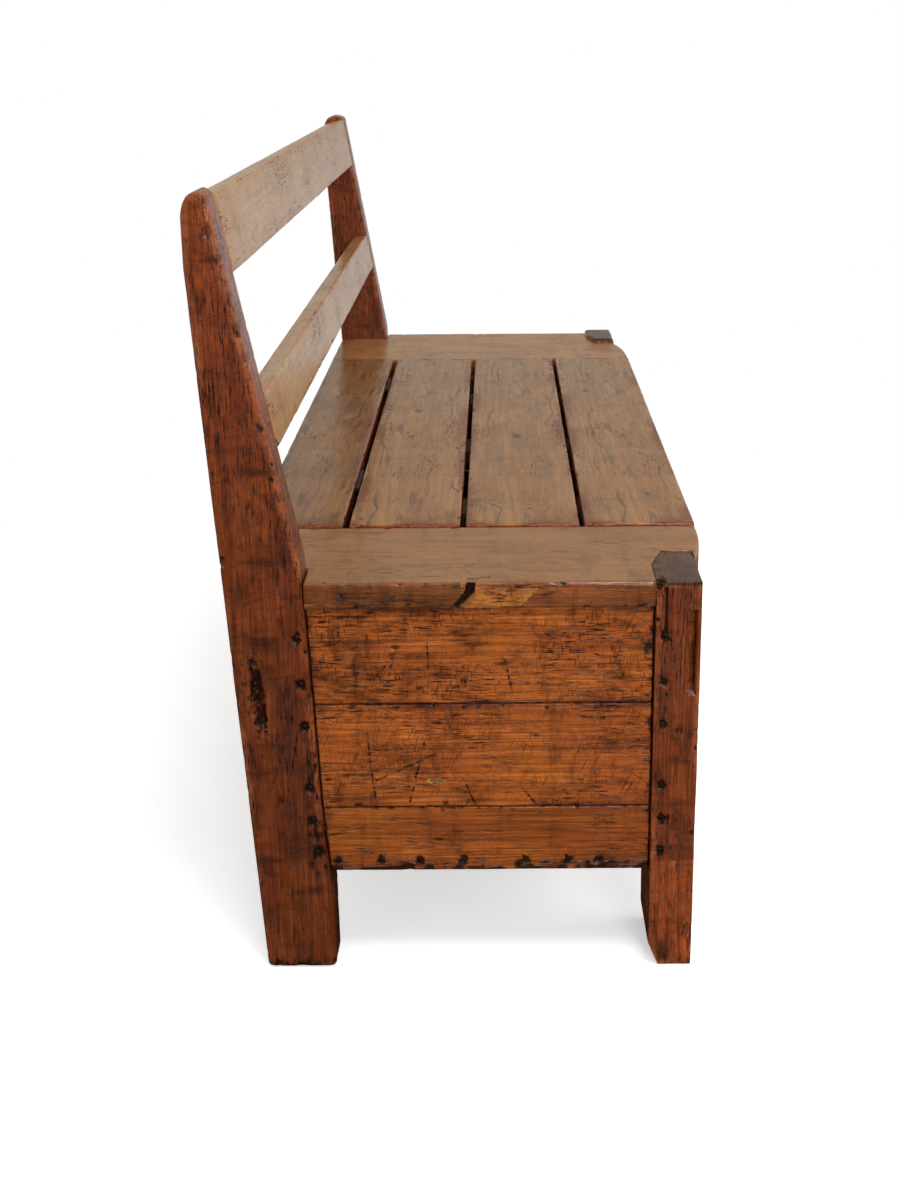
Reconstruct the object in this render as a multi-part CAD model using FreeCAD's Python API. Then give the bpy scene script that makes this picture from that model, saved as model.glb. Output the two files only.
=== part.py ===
"""Old pine box settle: a lift-up seat over a boarded chest, with an open two-rail back.

Frame: +X along the length, -Y towards the front of the seat, +Z up.
The origin is on the floor, under the middle of the whole settle.
All sizes are in millimetres.
"""
import FreeCAD, Part
import math
import os

Vector = FreeCAD.Vector

# Whole settle
overall_length = 1200.0         # over the outer faces of the posts
overall_depth = 524.0           # from the nose of the seat to the back of the rear posts
overall_height = 850.0
seat_height = 452.0             # floor to the top of the boards at the ends of the seat
chest_clearance = 117.0         # floor to the underside of the boarded chest

# Back posts, sawn planks that lean back and thin towards the top
back_post_thickness = 44.0
back_post_foot_depth = 76.0
back_post_heel_height = 90.0    # the foot keeps its forward edge up to here
back_post_heel_depth = 81.0
back_post_shin_height = 160.0   # above the heel the front edge is cut back to here
back_post_shin_depth = 77.0
back_post_seat_depth = 82.5
back_post_top_depth = {"left": 25.5, "right": 35.0}
back_post_lean = 44.8           # how far the rear edge moves back from the floor to the bend
upright_top_height = 75.0       # the rear edge is upright over this much of the top
taper_start = 18.0              # height above the seat where the front edge starts to slope
back_post_top_round = 11.0
back_post_foot_round = 6.0

# Front posts, which come up flush in the corners of the seat
front_post_width = 88.0         # along X
front_post_depth = 48.0
front_post_proud_left = 0.0     # height of the post top above the seat board
front_post_proud_right = 7.0
front_post_top_round = 6.0      # round of a post top that stands proud
post_head_chamfer_length = 38.0     # worn inner corner of the post head, along X
post_head_chamfer_depth = 14.0      # the same, along Y
post_head_height = 60.0         # how far down the chamfer runs
front_foot_chamfer = 11.0
front_foot_chamfer_height = 26.0

# Seat
end_board_thickness = 28.0
end_board_width_left = 168.0
end_board_width_right = 206.0
plank_thickness = 30.0
nose_overhang = 14.5            # seat nose in front of the front posts
worn_corner_reach_left = 64.0   # where the worn edge meets the post face, from the end
worn_corner_reach_right = 88.0
worn_corner_run = 92.0          # length of the worn curve
front_plank_width = 125.5
middle_plank_width = 130.5
rear_lid_plank_width = 127.25
front_plank_gap = 4.5
rear_plank_gap = 5.0
hinge_gap = 6.0
plank_end_gap = 1.5
rear_edge_setback = 2.0         # rear edge of the seat inside the back of the posts
hinge_edge_round = 3.2
nose_edge_round = 5.0
plank_edge_round = 3.0
end_board_edge_round = 4.0

# Boards of the chest
board_thickness = 20.0
board_setback = 5.0             # boards inside the outer faces of the posts
bottom_board_height = 77.5
middle_board_height = 120.5
groove_depth = 18.0
board_joint = 1.0               # open joint between boards
front_rail_thickness = 25.0
front_rail_setback = 4.0
front_tenon_thickness = 9.0
front_tenon_top_shoulder = 4.0
front_tenon_bottom_shoulder = 11.0
front_tenon_recess = 14.0       # the tenon stops this far inside the open mortise
floor_thickness = 24.0
floor_board_names = ("front", "middle", "rear")
floor_joint = 1.5
floor_bearer_width = 60.0
floor_bearer_thickness = 22.0
floor_bearer_inset = 250.0      # from the end of the settle to the middle of a bearer

# Bearers under the joints between the end boards and the planks
seat_bearer_width = 50.0
seat_bearer_height = 45.0

# Rails of the back
rail_thickness = 25.0
middle_rail_height = 60.5
middle_rail_rise = 115.5        # up the sloping front edge of the posts, from its start
top_rail_height = 81.5
top_rail_rise = 300.0
rail_tenon_length = 30.0
rail_tenon_thickness = 10.0
rail_tenon_shoulder = 8.0
rail_edge_round = 2.5
peg_radius = 3.5
peg_length = 24.0

# Lid battens, under the three planks that lift
batten_width = 58.0
batten_thickness = 22.0
batten_end_inset = 150.0        # from the end of the lid to the middle of the outer battens
batten_rear_gap = 16.0          # from the hinge side of the lid
batten_front_gap = 12.0         # inside the front rail

# Iron butt hinges
hinge_inset = 170.0             # from the end of the lid to the middle of a hinge
hinge_length = 70.0
hinge_leaf_height = 18.0
hinge_leaf_thickness = 1.4
hinge_axis_drop = 3.5           # axis below the top of the planks
knuckle_radius = 2.65
knuckle_count = 5
knuckle_gap = 0.4
knuckle_clearance = 0.4
hinge_pin_radius = 1.25
hinge_pin_running_gap = 0.05
hinge_pin_head_radius = 1.9
hinge_pin_head_height = 1.0
hinge_screw_radius = 1.6
hinge_screw_head_radius = 2.9
hinge_screw_length = 18.0
hinge_screw_count = 3
hinge_screw_spacing = 24.0
hinge_screw_drop = 11.5         # screw line below the hinge axis

# Wrought nails
nail_shank = 3.4
nail_head_radius = 4.2
nail_head_tip_radius = 1.6
nail_head_height = 1.3
nail_pocket_depth = 1.8         # heads are driven below the surface
nail_pocket_margin = 0.4
nail_length = 30.0
long_nail_length = 48.0
nail_edge_distance = 10.5       # from the edge of a post
end_board_nail_shares = {"bottom": (0.32, 0.83), "middle": (0.21, 0.8), "top": (0.225, 0.7)}
floor_nail_first = 9.5          # from the back post to the first nail along the end
floor_nail_pitch = 46.5
floor_nail_unevenness = (1.0, 0.9, 1.02, 1.44, 0.98, 0.7)       # each step as a share of the pitch
cut_overrun = 1.0               # cutting blocks run past the surface by this
smallest_length = 0.01          # lengths closer than this are the same

# Places worked out from the sizes
half_length = overall_length / 2
back_y = overall_depth / 2
nose_y = -overall_depth / 2
seat_underside = seat_height - end_board_thickness
plank_top = seat_underside + plank_thickness
front_post_face = nose_y + nose_overhang
front_post_inner = front_post_face + front_post_depth
bend_height = overall_height - upright_top_height
taper_height = seat_height + taper_start
back_foot_rear = back_y - back_post_lean
left_joint_x = -half_length + end_board_width_left
right_joint_x = half_length - end_board_width_right
plank_left = left_joint_x + plank_end_gap
plank_right = right_joint_x - plank_end_gap
front_plank_rear = nose_y + front_plank_width
middle_plank_front = front_plank_rear + front_plank_gap
middle_plank_rear = middle_plank_front + middle_plank_width
rear_lid_front = middle_plank_rear + rear_plank_gap
lid_rear = rear_lid_front + rear_lid_plank_width
hinge_y = lid_rear + hinge_gap / 2
hinge_z = plank_top - hinge_axis_drop
rear_plank_front = lid_rear + hinge_gap
board_levels = {
    "bottom": (chest_clearance, chest_clearance + bottom_board_height),
    "middle": (chest_clearance + bottom_board_height,
               chest_clearance + bottom_board_height + middle_board_height),
    "top": (chest_clearance + bottom_board_height + middle_board_height, seat_underside),
}
sides = {"left": -1, "right": 1}
joint_x = {"left": left_joint_x, "right": right_joint_x}

parts = {}


def between(start, end, share):
    """The value that lies this share of the way from start to end."""
    return start + (end - start) * share


def rear_edge(z):
    """Y of the rear edge of a back post at height z."""
    if z >= bend_height:
        return back_y
    return between(back_foot_rear, back_y, z / bend_height)


def front_edge(z, side="left"):
    """Y of the front edge of a back post at height z."""
    depths = [
        (0, back_post_foot_depth), (back_post_heel_height, back_post_heel_depth),
        (back_post_shin_height, back_post_shin_depth), (taper_height, back_post_seat_depth),
        (overall_height, back_post_top_depth[side]),
    ]
    for (low, low_depth), (high, high_depth) in zip(depths, depths[1:]):
        if z <= high:
            break
    low_y = rear_edge(low) - low_depth
    high_y = rear_edge(high) - high_depth
    return between(low_y, high_y, (z - low) / (high - low))


def box(x0, x1, y0, y1, z0, z1):
    """An upright block between two corners."""
    return Part.makeBox(x1 - x0, y1 - y0, z1 - z0, Vector(x0, y0, z0))


def profile_along_x(points, x0, x1):
    """A solid whose outline in Y and Z runs from x0 to x1."""
    corners = [Vector(x0, y, z) for y, z in points]
    face = Part.Face(Part.makePolygon(corners + corners[:1]))
    return face.extrude(Vector(x1 - x0, 0, 0))


def profile_along_z(edges, z0, z1):
    """A solid whose outline at height z0 runs up to z1."""
    face = Part.Face(Part.Wire(Part.__sortEdges__(edges)))
    return face.extrude(Vector(0, 0, z1 - z0))


def round_edges(shape, radius, wanted):
    """Fillet the edges that the test picks by their middle point and direction."""
    chosen = []
    for edge in shape.Edges:
        start, end = edge.Vertexes[0].Point, edge.Vertexes[-1].Point
        if wanted((start + end) * 0.5, (end - start)):
            chosen.append(edge)
    return shape.makeFillet(radius, chosen)


def runs_along(direction, axis):
    """True for an edge that lies along one axis."""
    return same(abs(getattr(direction, axis)), direction.Length)


def same(first, second):
    """True for two lengths that differ by nothing that could be made."""
    return abs(first - second) < smallest_length


def cut_all(name, tools):
    """Take the tools out of one piece."""
    parts[name] = parts[name].cut(Part.makeCompound(tools))


def nail(point, direction, length=nail_length):
    """A nail with a square shank and a low rose head, and the pocket it is driven into."""
    shank = Part.makeBox(nail_shank, nail_shank, length,
                         Vector(-nail_shank / 2, -nail_shank / 2, nail_pocket_depth))
    head = Part.makeCone(nail_head_tip_radius, nail_head_radius, nail_head_height,
                         Vector(0, 0, nail_pocket_depth - nail_head_height))
    pocket = Part.makeCylinder(nail_head_radius + nail_pocket_margin, nail_pocket_depth)
    turn = FreeCAD.Rotation(Vector(0, 0, 1), direction)
    place = FreeCAD.Placement(point, turn)
    solid = shank.fuse(head).removeSplitter()
    solid.Placement = place
    hole = pocket.fuse(shank)
    hole.Placement = place
    return solid, hole


def drive_nails(group, spots, pieces, length=nail_length):
    """Drive a group of nails at (point, direction) through the named pieces."""
    made = [nail(point, direction, length) for point, direction in spots]
    parts[group] = Part.makeCompound([solid for solid, hole in made])
    for piece in pieces:
        cut_all(piece, [hole for solid, hole in made])


def make_back_posts():
    for side, sign in sides.items():
        outer = sign * half_length
        inner = outer - sign * back_post_thickness
        outline = [
            (back_foot_rear, 0), (back_y, bend_height), (back_y, overall_height),
        ]
        for z in (overall_height, taper_height, back_post_shin_height, back_post_heel_height, 0):
            outline.append((front_edge(z, side), z))
        post = profile_along_x(outline, min(outer, inner), max(outer, inner))
        post = round_edges(post, back_post_top_round,
                           lambda mid, way: runs_along(way, "x") and same(mid.z, overall_height))
        post = round_edges(post, back_post_foot_round,
                           lambda mid, way: runs_along(way, "x") and same(mid.z, 0))
        parts["back_post_" + side] = post


def post_head_outline(outer, sign):
    """Plan of the front post with the worn inner corner of its head."""
    inner = outer - sign * front_post_width
    return [
        (outer, front_post_face), (inner, front_post_face),
        (inner, front_post_inner - post_head_chamfer_depth),
        (inner + sign * post_head_chamfer_length, front_post_inner),
        (outer, front_post_inner),
    ]


def plan_solid(points, z0, z1):
    """A solid with straight sides in plan, from z0 up to z1."""
    corners = [Vector(x, y, z0) for x, y in points]
    face = Part.Face(Part.makePolygon(corners + corners[:1]))
    return face.extrude(Vector(0, 0, z1 - z0))


def make_front_posts():
    proud = {"left": front_post_proud_left, "right": front_post_proud_right}
    for side, sign in sides.items():
        outer = sign * half_length
        inner = outer - sign * front_post_width
        low_x, high_x = min(outer, inner), max(outer, inner)
        top = seat_height + proud[side]
        head_bottom = seat_height - post_head_height
        body = box(low_x, high_x, front_post_face, front_post_inner, 0, head_bottom)
        head = plan_solid(post_head_outline(outer, sign), head_bottom, top)
        foot_wear = profile_along_x(
            [(front_post_inner, 0), (front_post_inner - front_foot_chamfer, 0),
             (front_post_inner, front_foot_chamfer_height)], low_x, high_x)
        post = body.fuse(head).removeSplitter().cut(foot_wear)
        if proud[side] > 0:
            radius = min(front_post_top_round, proud[side] - smallest_length)
            post = round_edges(post, radius, lambda mid, way: same(mid.z, top))
        parts["front_post_" + side] = post


def make_end_panels():
    """Three boards at each end, tongued into grooves in the posts."""
    for side, sign in sides.items():
        outer = sign * (half_length - board_setback)
        inner = outer - sign * board_thickness
        posts = ("front_post_" + side, "back_post_" + side)
        for level, (low, high) in board_levels.items():
            top = high if level == "top" else high - board_joint
            outline = [
                (front_post_inner - groove_depth, low), (front_post_inner - groove_depth, top),
                (front_edge(top) + groove_depth, top), (front_edge(low) + groove_depth, low),
            ]
            board = profile_along_x(outline, min(outer, inner), max(outer, inner))
            parts["end_board_%s_%s" % (level, side)] = board
            for post in posts:
                cut_all(post, [board])


def make_front_boards():
    """Top rail with through tenons, and two boards tongued into the front posts."""
    post_inner = half_length - front_post_width
    low, high = board_levels["top"]
    face = front_post_face + front_rail_setback
    rail = box(-post_inner, post_inner, face, face + front_rail_thickness, low, high)
    tenon_low = low + front_tenon_bottom_shoulder
    tenon_high = high - front_tenon_top_shoulder
    tenon_end = half_length - front_tenon_recess
    tenon = box(-tenon_end, tenon_end, face, face + front_tenon_thickness, tenon_low, tenon_high)
    parts["front_top_rail"] = rail.fuse(tenon).removeSplitter()
    mortise = box(-half_length, half_length, face, face + front_tenon_thickness, tenon_low, tenon_high)
    board_face = front_post_face + board_setback
    for level in ("middle", "bottom"):
        low, high = board_levels[level]
        reach = post_inner + groove_depth
        parts["front_%s_board" % level] = box(
            -reach, reach, board_face, board_face + board_thickness, low, high - board_joint)
    for side in sides:
        cut_all("front_post_" + side,
                [mortise, parts["front_middle_board"], parts["front_bottom_board"]])


def back_board_face(z):
    """Y of the outer face of the back boards, which follow the lean of the posts."""
    return rear_edge(z) - board_setback


def make_back_boards():
    reach = half_length - back_post_thickness + groove_depth
    for level, (low, high) in board_levels.items():
        top = high if level == "top" else high - board_joint
        outline = [
            (back_board_face(low) - board_thickness, low), (back_board_face(low), low),
            (back_board_face(top), top), (back_board_face(top) - board_thickness, top),
        ]
        board = profile_along_x(outline, -reach, reach)
        parts["back_%s_board" % level] = board
        for side in sides:
            cut_all("back_post_" + side, [board])


def make_floor():
    """Floor boards between the four walls, on two bearers nailed up under the chest."""
    floor_low = chest_clearance
    floor_high = chest_clearance + floor_thickness
    end = half_length - board_setback - board_thickness
    front = front_post_face + board_setback + board_thickness
    back = back_board_face(floor_low) - board_thickness
    count = len(floor_board_names)
    width = (back - front - (count - 1) * floor_joint) / count
    posts = [parts[kind + side] for kind in ("front_post_", "back_post_") for side in sides]
    for index, name in enumerate(floor_board_names):
        start = front + index * (width + floor_joint)
        board = box(-end, end, start, start + width, floor_low, floor_high)
        parts["floor_board_" + name] = board.cut(Part.makeCompound(posts))
    for side, sign in sides.items():
        middle = sign * (half_length - floor_bearer_inset)
        parts["floor_bearer_" + side] = box(
            middle - floor_bearer_width / 2, middle + floor_bearer_width / 2,
            front_post_face + board_setback, back_board_face(floor_low),
            floor_low - floor_bearer_thickness, floor_low)


def make_seat_bearers():
    """Cross pieces under the joints of the seat, from the front rail to the back boards."""
    front = front_post_face + front_rail_setback + front_rail_thickness
    low = seat_underside - seat_bearer_height
    outline = [
        (front, low), (front, seat_underside),
        (back_board_face(seat_underside) - board_thickness, seat_underside),
        (back_board_face(low) - board_thickness, low),
    ]
    for side in sides:
        middle = joint_x[side]
        parts["seat_bearer_" + side] = profile_along_x(
            outline, middle - seat_bearer_width / 2, middle + seat_bearer_width / 2)


def make_seat_end_boards():
    """Boards across the ends of the seat, notched round the posts, with a worn front corner."""
    reach = {"left": worn_corner_reach_left, "right": worn_corner_reach_right}
    seat_rear = rear_edge(seat_height) - rear_edge_setback
    for side, sign in sides.items():
        outer = sign * half_length
        inner = joint_x[side]
        wear_end = outer - sign * reach[side]
        wear_start = wear_end - sign * worn_corner_run
        radius = (worn_corner_run ** 2 + nose_overhang ** 2) / (2 * nose_overhang)
        half_turn = math.asin(worn_corner_run / radius) / 2
        wear_middle = Vector(wear_start + sign * radius * math.sin(half_turn),
                             nose_y + radius * (1 - math.cos(half_turn)), seat_underside)
        corners = [
            Vector(wear_end, front_post_face, seat_underside), Vector(outer, front_post_face, seat_underside),
            Vector(outer, seat_rear, seat_underside), Vector(inner, seat_rear, seat_underside),
            Vector(inner, nose_y, seat_underside), Vector(wear_start, nose_y, seat_underside),
        ]
        edges = [Part.LineSegment(a, b).toShape() for a, b in zip(corners, corners[1:])]
        edges.append(Part.Arc(corners[-1], wear_middle, corners[0]).toShape())
        board = profile_along_z(edges, seat_underside, seat_height)
        cut_low = seat_underside - cut_overrun
        cut_high = seat_height + cut_overrun
        post_head = plan_solid(post_head_outline(outer, sign), cut_low, cut_high)
        back_notch = box(min(outer, outer - sign * back_post_thickness),
                         max(outer, outer - sign * back_post_thickness),
                         front_edge(seat_underside), back_y, cut_low, cut_high)
        board = board.cut(Part.makeCompound([post_head, back_notch, parts["back_post_" + side]]))
        board = round_edges(board, end_board_edge_round,
                            lambda mid, way: same(mid.z, seat_height) and
                            (same(mid.x, inner) or same(mid.y, nose_y) or
                             (same(mid.x, outer) and mid.y > front_post_inner)))
        parts["seat_end_board_" + side] = board


def make_plank(front, rear, front_round, rear_round):
    """One seat plank with rounded long edges."""
    plank = box(plank_left, plank_right, front, rear, seat_underside, plank_top)
    for edge_y, radius in ((front, front_round), (rear, rear_round)):
        plank = round_edges(plank, radius,
                            lambda mid, way: runs_along(way, "x") and
                            same(mid.y, edge_y) and same(mid.z, plank_top))
    return plank


def make_planks():
    seat_rear = rear_edge(seat_height) - rear_edge_setback
    parts["lid_plank_front"] = make_plank(nose_y, front_plank_rear, nose_edge_round, plank_edge_round)
    parts["lid_plank_middle"] = make_plank(
        middle_plank_front, middle_plank_rear, plank_edge_round, plank_edge_round)
    parts["lid_plank_rear"] = make_plank(rear_lid_front, lid_rear, plank_edge_round, hinge_edge_round)
    parts["rear_seat_plank"] = make_plank(rear_plank_front, seat_rear, hinge_edge_round, plank_edge_round)


def batten_places():
    return {
        "left": plank_left + batten_end_inset,
        "middle": (plank_left + plank_right) / 2,
        "right": plank_right - batten_end_inset,
    }


def make_battens():
    front = front_post_face + front_rail_setback + front_rail_thickness + batten_front_gap
    rear = lid_rear - batten_rear_gap
    for name, middle in batten_places().items():
        parts["lid_batten_" + name] = box(
            middle - batten_width / 2, middle + batten_width / 2, front, rear,
            seat_underside - batten_thickness, seat_underside)


def slope_frame(side):
    """Start, direction and inward normal of the sloping front edge of one back post."""
    start = Vector(0, front_edge(taper_height, side), taper_height)
    end = Vector(0, front_edge(overall_height, side), overall_height)
    up = (end - start).normalize()
    inward = Vector(0, up.z, -up.y)
    return start, up, inward


def slope_outline(x, side, rise, height, depth, thickness):
    """Closed outline of a rail in the plane at x, set on the sloping front edge of one post."""
    start, up, inward = slope_frame(side)
    corners = []
    for along, into in ((rise, depth), (rise + height, depth),
                        (rise + height, depth + thickness), (rise, depth + thickness)):
        corners.append(start + up * along + inward * into + Vector(x, 0, 0))
    return Part.makePolygon(corners + corners[:1])


def make_back_rails():
    """Two rails tenoned between the back posts, flush with their sloping front edges.

    The posts slope a little differently, so a rail is set in a slight twist from one to the other.
    """
    inner = half_length - back_post_thickness
    rails = {"middle_back_rail": (middle_rail_rise, middle_rail_height),
             "top_back_rail": (top_rail_rise, top_rail_height)}
    pegs = []
    for name, (rise, height) in rails.items():
        ends = [slope_outline(sign * inner, side, rise, height, 0, rail_thickness)
                for side, sign in sides.items()]
        rail = Part.makeLoft(ends, True, True)
        rail = round_edges(rail, rail_edge_round, lambda mid, way: abs(way.x) > inner)
        for side, sign in sides.items():
            tenon = Part.Face(slope_outline(
                sign * inner, side, rise + rail_tenon_shoulder, height - 2 * rail_tenon_shoulder,
                (rail_thickness - rail_tenon_thickness) / 2, rail_tenon_thickness))
            rail = rail.fuse(tenon.extrude(Vector(sign * rail_tenon_length, 0, 0)))
        rail = rail.removeSplitter()
        parts[name] = rail
        for side, sign in sides.items():
            start, up, inward = slope_frame(side)
            cut_all("back_post_" + side, [rail])
            foot = start + up * (rise + height / 2)
            foot.x = sign * (inner + rail_tenon_length / 2)
            peg = Part.makeCylinder(peg_radius, peg_length, foot, inward)
            pegs.append(peg)
            cut_all("back_post_" + side, [peg])
            cut_all(name, [peg])
    parts["back_rail_pegs"] = Part.makeCompound(pegs)


def knuckle_span(middle, index):
    """Ends of one knuckle along X."""
    pitch = hinge_length / knuckle_count
    start = middle - hinge_length / 2 + index * pitch
    low = start + (knuckle_gap / 2 if index > 0 else 0)
    high = start + pitch - (knuckle_gap / 2 if index < knuckle_count - 1 else 0)
    return low, high


def hinge_leaf(middle, side_sign, own, bore):
    """One leaf on the edge of a plank, with its own knuckles round the pin."""
    face = hinge_y + side_sign * hinge_gap / 2
    inside = face - side_sign * hinge_leaf_thickness
    leaf = box(middle - hinge_length / 2, middle + hinge_length / 2,
               min(face, inside), max(face, inside), hinge_z - hinge_leaf_height, hinge_z)
    reliefs = []
    barrels = []
    for index in range(knuckle_count):
        low, high = knuckle_span(middle, index)
        at = Vector(low, hinge_y, hinge_z)
        if index % 2 == own:
            barrels.append(Part.makeCylinder(knuckle_radius, high - low, at, Vector(1, 0, 0)))
        else:
            room = Vector(low - knuckle_gap, hinge_y, hinge_z)
            reliefs.append(Part.makeCylinder(knuckle_radius + knuckle_clearance,
                                             high - low + 2 * knuckle_gap, room, Vector(1, 0, 0)))
    leaf = leaf.cut(Part.makeCompound(reliefs))
    for barrel in barrels:
        leaf = leaf.fuse(barrel)
    hole = Part.makeCylinder(bore, hinge_length, Vector(middle - hinge_length / 2, hinge_y, hinge_z),
                             Vector(1, 0, 0))
    return leaf.removeSplitter().cut(hole)


def hinge_pin(middle):
    """Pin with a small head at each end."""
    start = Vector(middle - hinge_length / 2, hinge_y, hinge_z)
    pin = Part.makeCylinder(hinge_pin_radius, hinge_length, start, Vector(1, 0, 0))
    left_head = Part.makeCylinder(hinge_pin_head_radius, hinge_pin_head_height, start, Vector(-1, 0, 0))
    end = start + Vector(hinge_length, 0, 0)
    right_head = Part.makeCylinder(hinge_pin_head_radius, hinge_pin_head_height, end, Vector(1, 0, 0))
    return pin.fuse(left_head).fuse(right_head).removeSplitter()


def hinge_screws(middle, side_sign):
    """Countersunk screws through one leaf into the edge of its plank."""
    face = hinge_y + side_sign * (hinge_gap / 2 - hinge_leaf_thickness)
    way = Vector(0, side_sign, 0)
    screws = []
    for index in range(hinge_screw_count):
        x = middle + (index - (hinge_screw_count - 1) / 2) * hinge_screw_spacing
        at = Vector(x, face, hinge_z - hinge_screw_drop)
        head = Part.makeCone(hinge_screw_head_radius, hinge_screw_radius, hinge_leaf_thickness, at, way)
        shank = Part.makeCylinder(hinge_screw_radius, hinge_screw_length, at, way)
        screws.append(head.fuse(shank).removeSplitter())
    return screws


def make_hinges():
    """Two butt hinges in the gap behind the lid."""
    places = {"left": plank_left + hinge_inset, "right": plank_right - hinge_inset}
    screws = {"fixed": [], "moving": []}
    for side, middle in places.items():
        bore = hinge_pin_radius + hinge_pin_running_gap
        leaves = {"fixed": (1, 0, hinge_pin_radius), "moving": (-1, 1, bore)}
        for kind, (side_sign, own, hole) in leaves.items():
            leaf = hinge_leaf(middle, side_sign, own, hole)
            made = hinge_screws(middle, side_sign)
            parts["hinge_%s_leaf_%s" % (kind, side)] = leaf.cut(Part.makeCompound(made))
            screws[kind] += made
        parts["hinge_pin_" + side] = hinge_pin(middle)
    planks = {"fixed": "rear_seat_plank", "moving": "lid_plank_rear"}
    for kind, made in screws.items():
        parts["hinge_%s_screws" % kind] = Part.makeCompound(made)
        cut_all(planks[kind], made)


def make_end_nails():
    """Nails through the posts into the tongues of the end boards."""
    for side, sign in sides.items():
        outer = sign * half_length
        way = Vector(-sign, 0, 0)
        spots = []
        for level, shares in end_board_nail_shares.items():
            for share in shares:
                z = between(*board_levels[level], share)
                spots.append((Vector(outer, front_post_inner - nail_edge_distance, z), way))
                spots.append((Vector(outer, front_edge(z) + nail_edge_distance, z), way))
        boards = ["end_board_%s_%s" % (level, side) for level in board_levels]
        drive_nails("end_nails_" + side, spots,
                    boards + ["front_post_" + side, "back_post_" + side])


def make_floor_nails():
    """Nails through the bottom end boards into the ends of the floor boards."""
    z = chest_clearance + floor_thickness / 2
    floor_boards = [name for name in parts if name.startswith("floor_board_")]
    for side, sign in sides.items():
        face = sign * (half_length - board_setback)
        y = front_edge(z) - floor_nail_first
        spots = []
        for share in (0,) + floor_nail_unevenness:
            y -= share * floor_nail_pitch
            if y > front_post_inner + nail_edge_distance:
                spots.append((Vector(face, y, z), Vector(-sign, 0, 0)))
        drive_nails("floor_nails_" + side, spots,
                    floor_boards + ["end_board_bottom_" + side], long_nail_length)


def make_bearer_nails():
    """Nails up through the floor bearers into the chest, and through the seat bearers."""
    up = Vector(0, 0, 1)
    front = front_post_face + board_setback + board_thickness / 2
    back = back_board_face(chest_clearance) - board_thickness / 2
    spots = []
    for sign in sides.values():
        x = sign * (half_length - floor_bearer_inset)
        for y in (front, (front + back) / 2, back):
            spots.append((Vector(x, y, chest_clearance - floor_bearer_thickness), up))
    floor_boards = [name for name in parts if name.startswith("floor_board_")]
    drive_nails("floor_bearer_nails", spots,
                floor_boards + ["front_bottom_board", "back_bottom_board",
                                "floor_bearer_left", "floor_bearer_right"])
    spots = []
    low = seat_underside - seat_bearer_height
    length = seat_bearer_height + end_board_thickness / 2
    for side, sign in sides.items():
        over_end_board = joint_x[side] + sign * seat_bearer_width / 4
        over_rear_plank = joint_x[side] - sign * seat_bearer_width / 4
        for y in (middle_plank_front, rear_plank_front):
            spots.append((Vector(over_end_board, y, low), up))
        spots.append((Vector(over_rear_plank, (rear_plank_front + back) / 2, low), up))
    drive_nails("seat_bearer_nails", spots,
                ["seat_bearer_left", "seat_bearer_right", "seat_end_board_left",
                 "seat_end_board_right", "rear_seat_plank"], length)


def make_batten_nails():
    """Nails up through the lid battens, two into each plank."""
    up = Vector(0, 0, 1)
    length = batten_thickness + plank_thickness / 2
    middles = ((nose_y + front_plank_rear) / 2 + nose_overhang,
               (middle_plank_front + middle_plank_rear) / 2,
               (rear_lid_front + lid_rear) / 2)
    spots = []
    for x in batten_places().values():
        for y in middles:
            for shift in (-batten_width / 4, batten_width / 4):
                spots.append((Vector(x + shift, y + shift, seat_underside - batten_thickness), up))
    drive_nails("lid_batten_nails", spots,
                ["lid_batten_left", "lid_batten_middle", "lid_batten_right",
                 "lid_plank_front", "lid_plank_middle", "lid_plank_rear"], length)


def make_back_nails():
    """Nails through the top back board into the ends of the seat bearers."""
    spots = []
    z = seat_underside - seat_bearer_height / 2
    for side in sides:
        spots.append((Vector(joint_x[side], back_board_face(z), z), Vector(0, -1, 0)))
    drive_nails("back_board_nails", spots,
                ["back_top_board", "seat_bearer_left", "seat_bearer_right"], long_nail_length)


def main():
    make_back_posts()
    make_front_posts()
    make_end_panels()
    make_front_boards()
    make_back_boards()
    make_floor()
    make_seat_bearers()
    make_seat_end_boards()
    make_planks()
    make_battens()
    make_back_rails()
    make_hinges()
    make_end_nails()
    make_floor_nails()
    make_bearer_nails()
    make_batten_nails()
    make_back_nails()
    os.makedirs("parts", exist_ok=True)
    for name, shape in parts.items():
        shape.exportStep("parts/%s.step" % name)
        print(name, len(shape.Solids), "solids", round(shape.Volume / 1000, 1), "cm3", shape.isValid())
    print("hinge axis", hinge_y, hinge_z)


main()
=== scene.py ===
"""Looks of an old pine box settle: worn waxed boards, wrought nails, iron hinges and a plain pale stage.

Lengths are in metres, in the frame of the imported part: +X along the settle, -Y to the front, +Z up.
"""
import bpy
import bmesh
import math
from bpy.props import FloatProperty, FloatVectorProperty, PointerProperty
from bpy.types import Operator, Panel, PropertyGroup
from mathutils import Euler, Matrix, Vector, noise


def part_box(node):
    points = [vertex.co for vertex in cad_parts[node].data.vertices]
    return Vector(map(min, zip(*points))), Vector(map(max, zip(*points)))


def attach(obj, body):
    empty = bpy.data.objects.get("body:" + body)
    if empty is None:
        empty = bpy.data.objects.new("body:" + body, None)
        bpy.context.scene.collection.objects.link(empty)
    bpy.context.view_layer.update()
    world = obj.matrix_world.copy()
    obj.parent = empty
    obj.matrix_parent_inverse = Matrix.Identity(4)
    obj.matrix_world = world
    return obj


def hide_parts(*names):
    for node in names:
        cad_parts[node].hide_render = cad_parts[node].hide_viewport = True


bl_info = {
    "name": "Pine box settle",
    "version": (1, 0, 0),
    "blender": (4, 5, 0),
    "location": "3D View > Sidebar > Settle",
    "description": "Builds the worn wood, ironwork and stage of an old box settle round its packed frame",
    "category": "Add Mesh",
}

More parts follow.
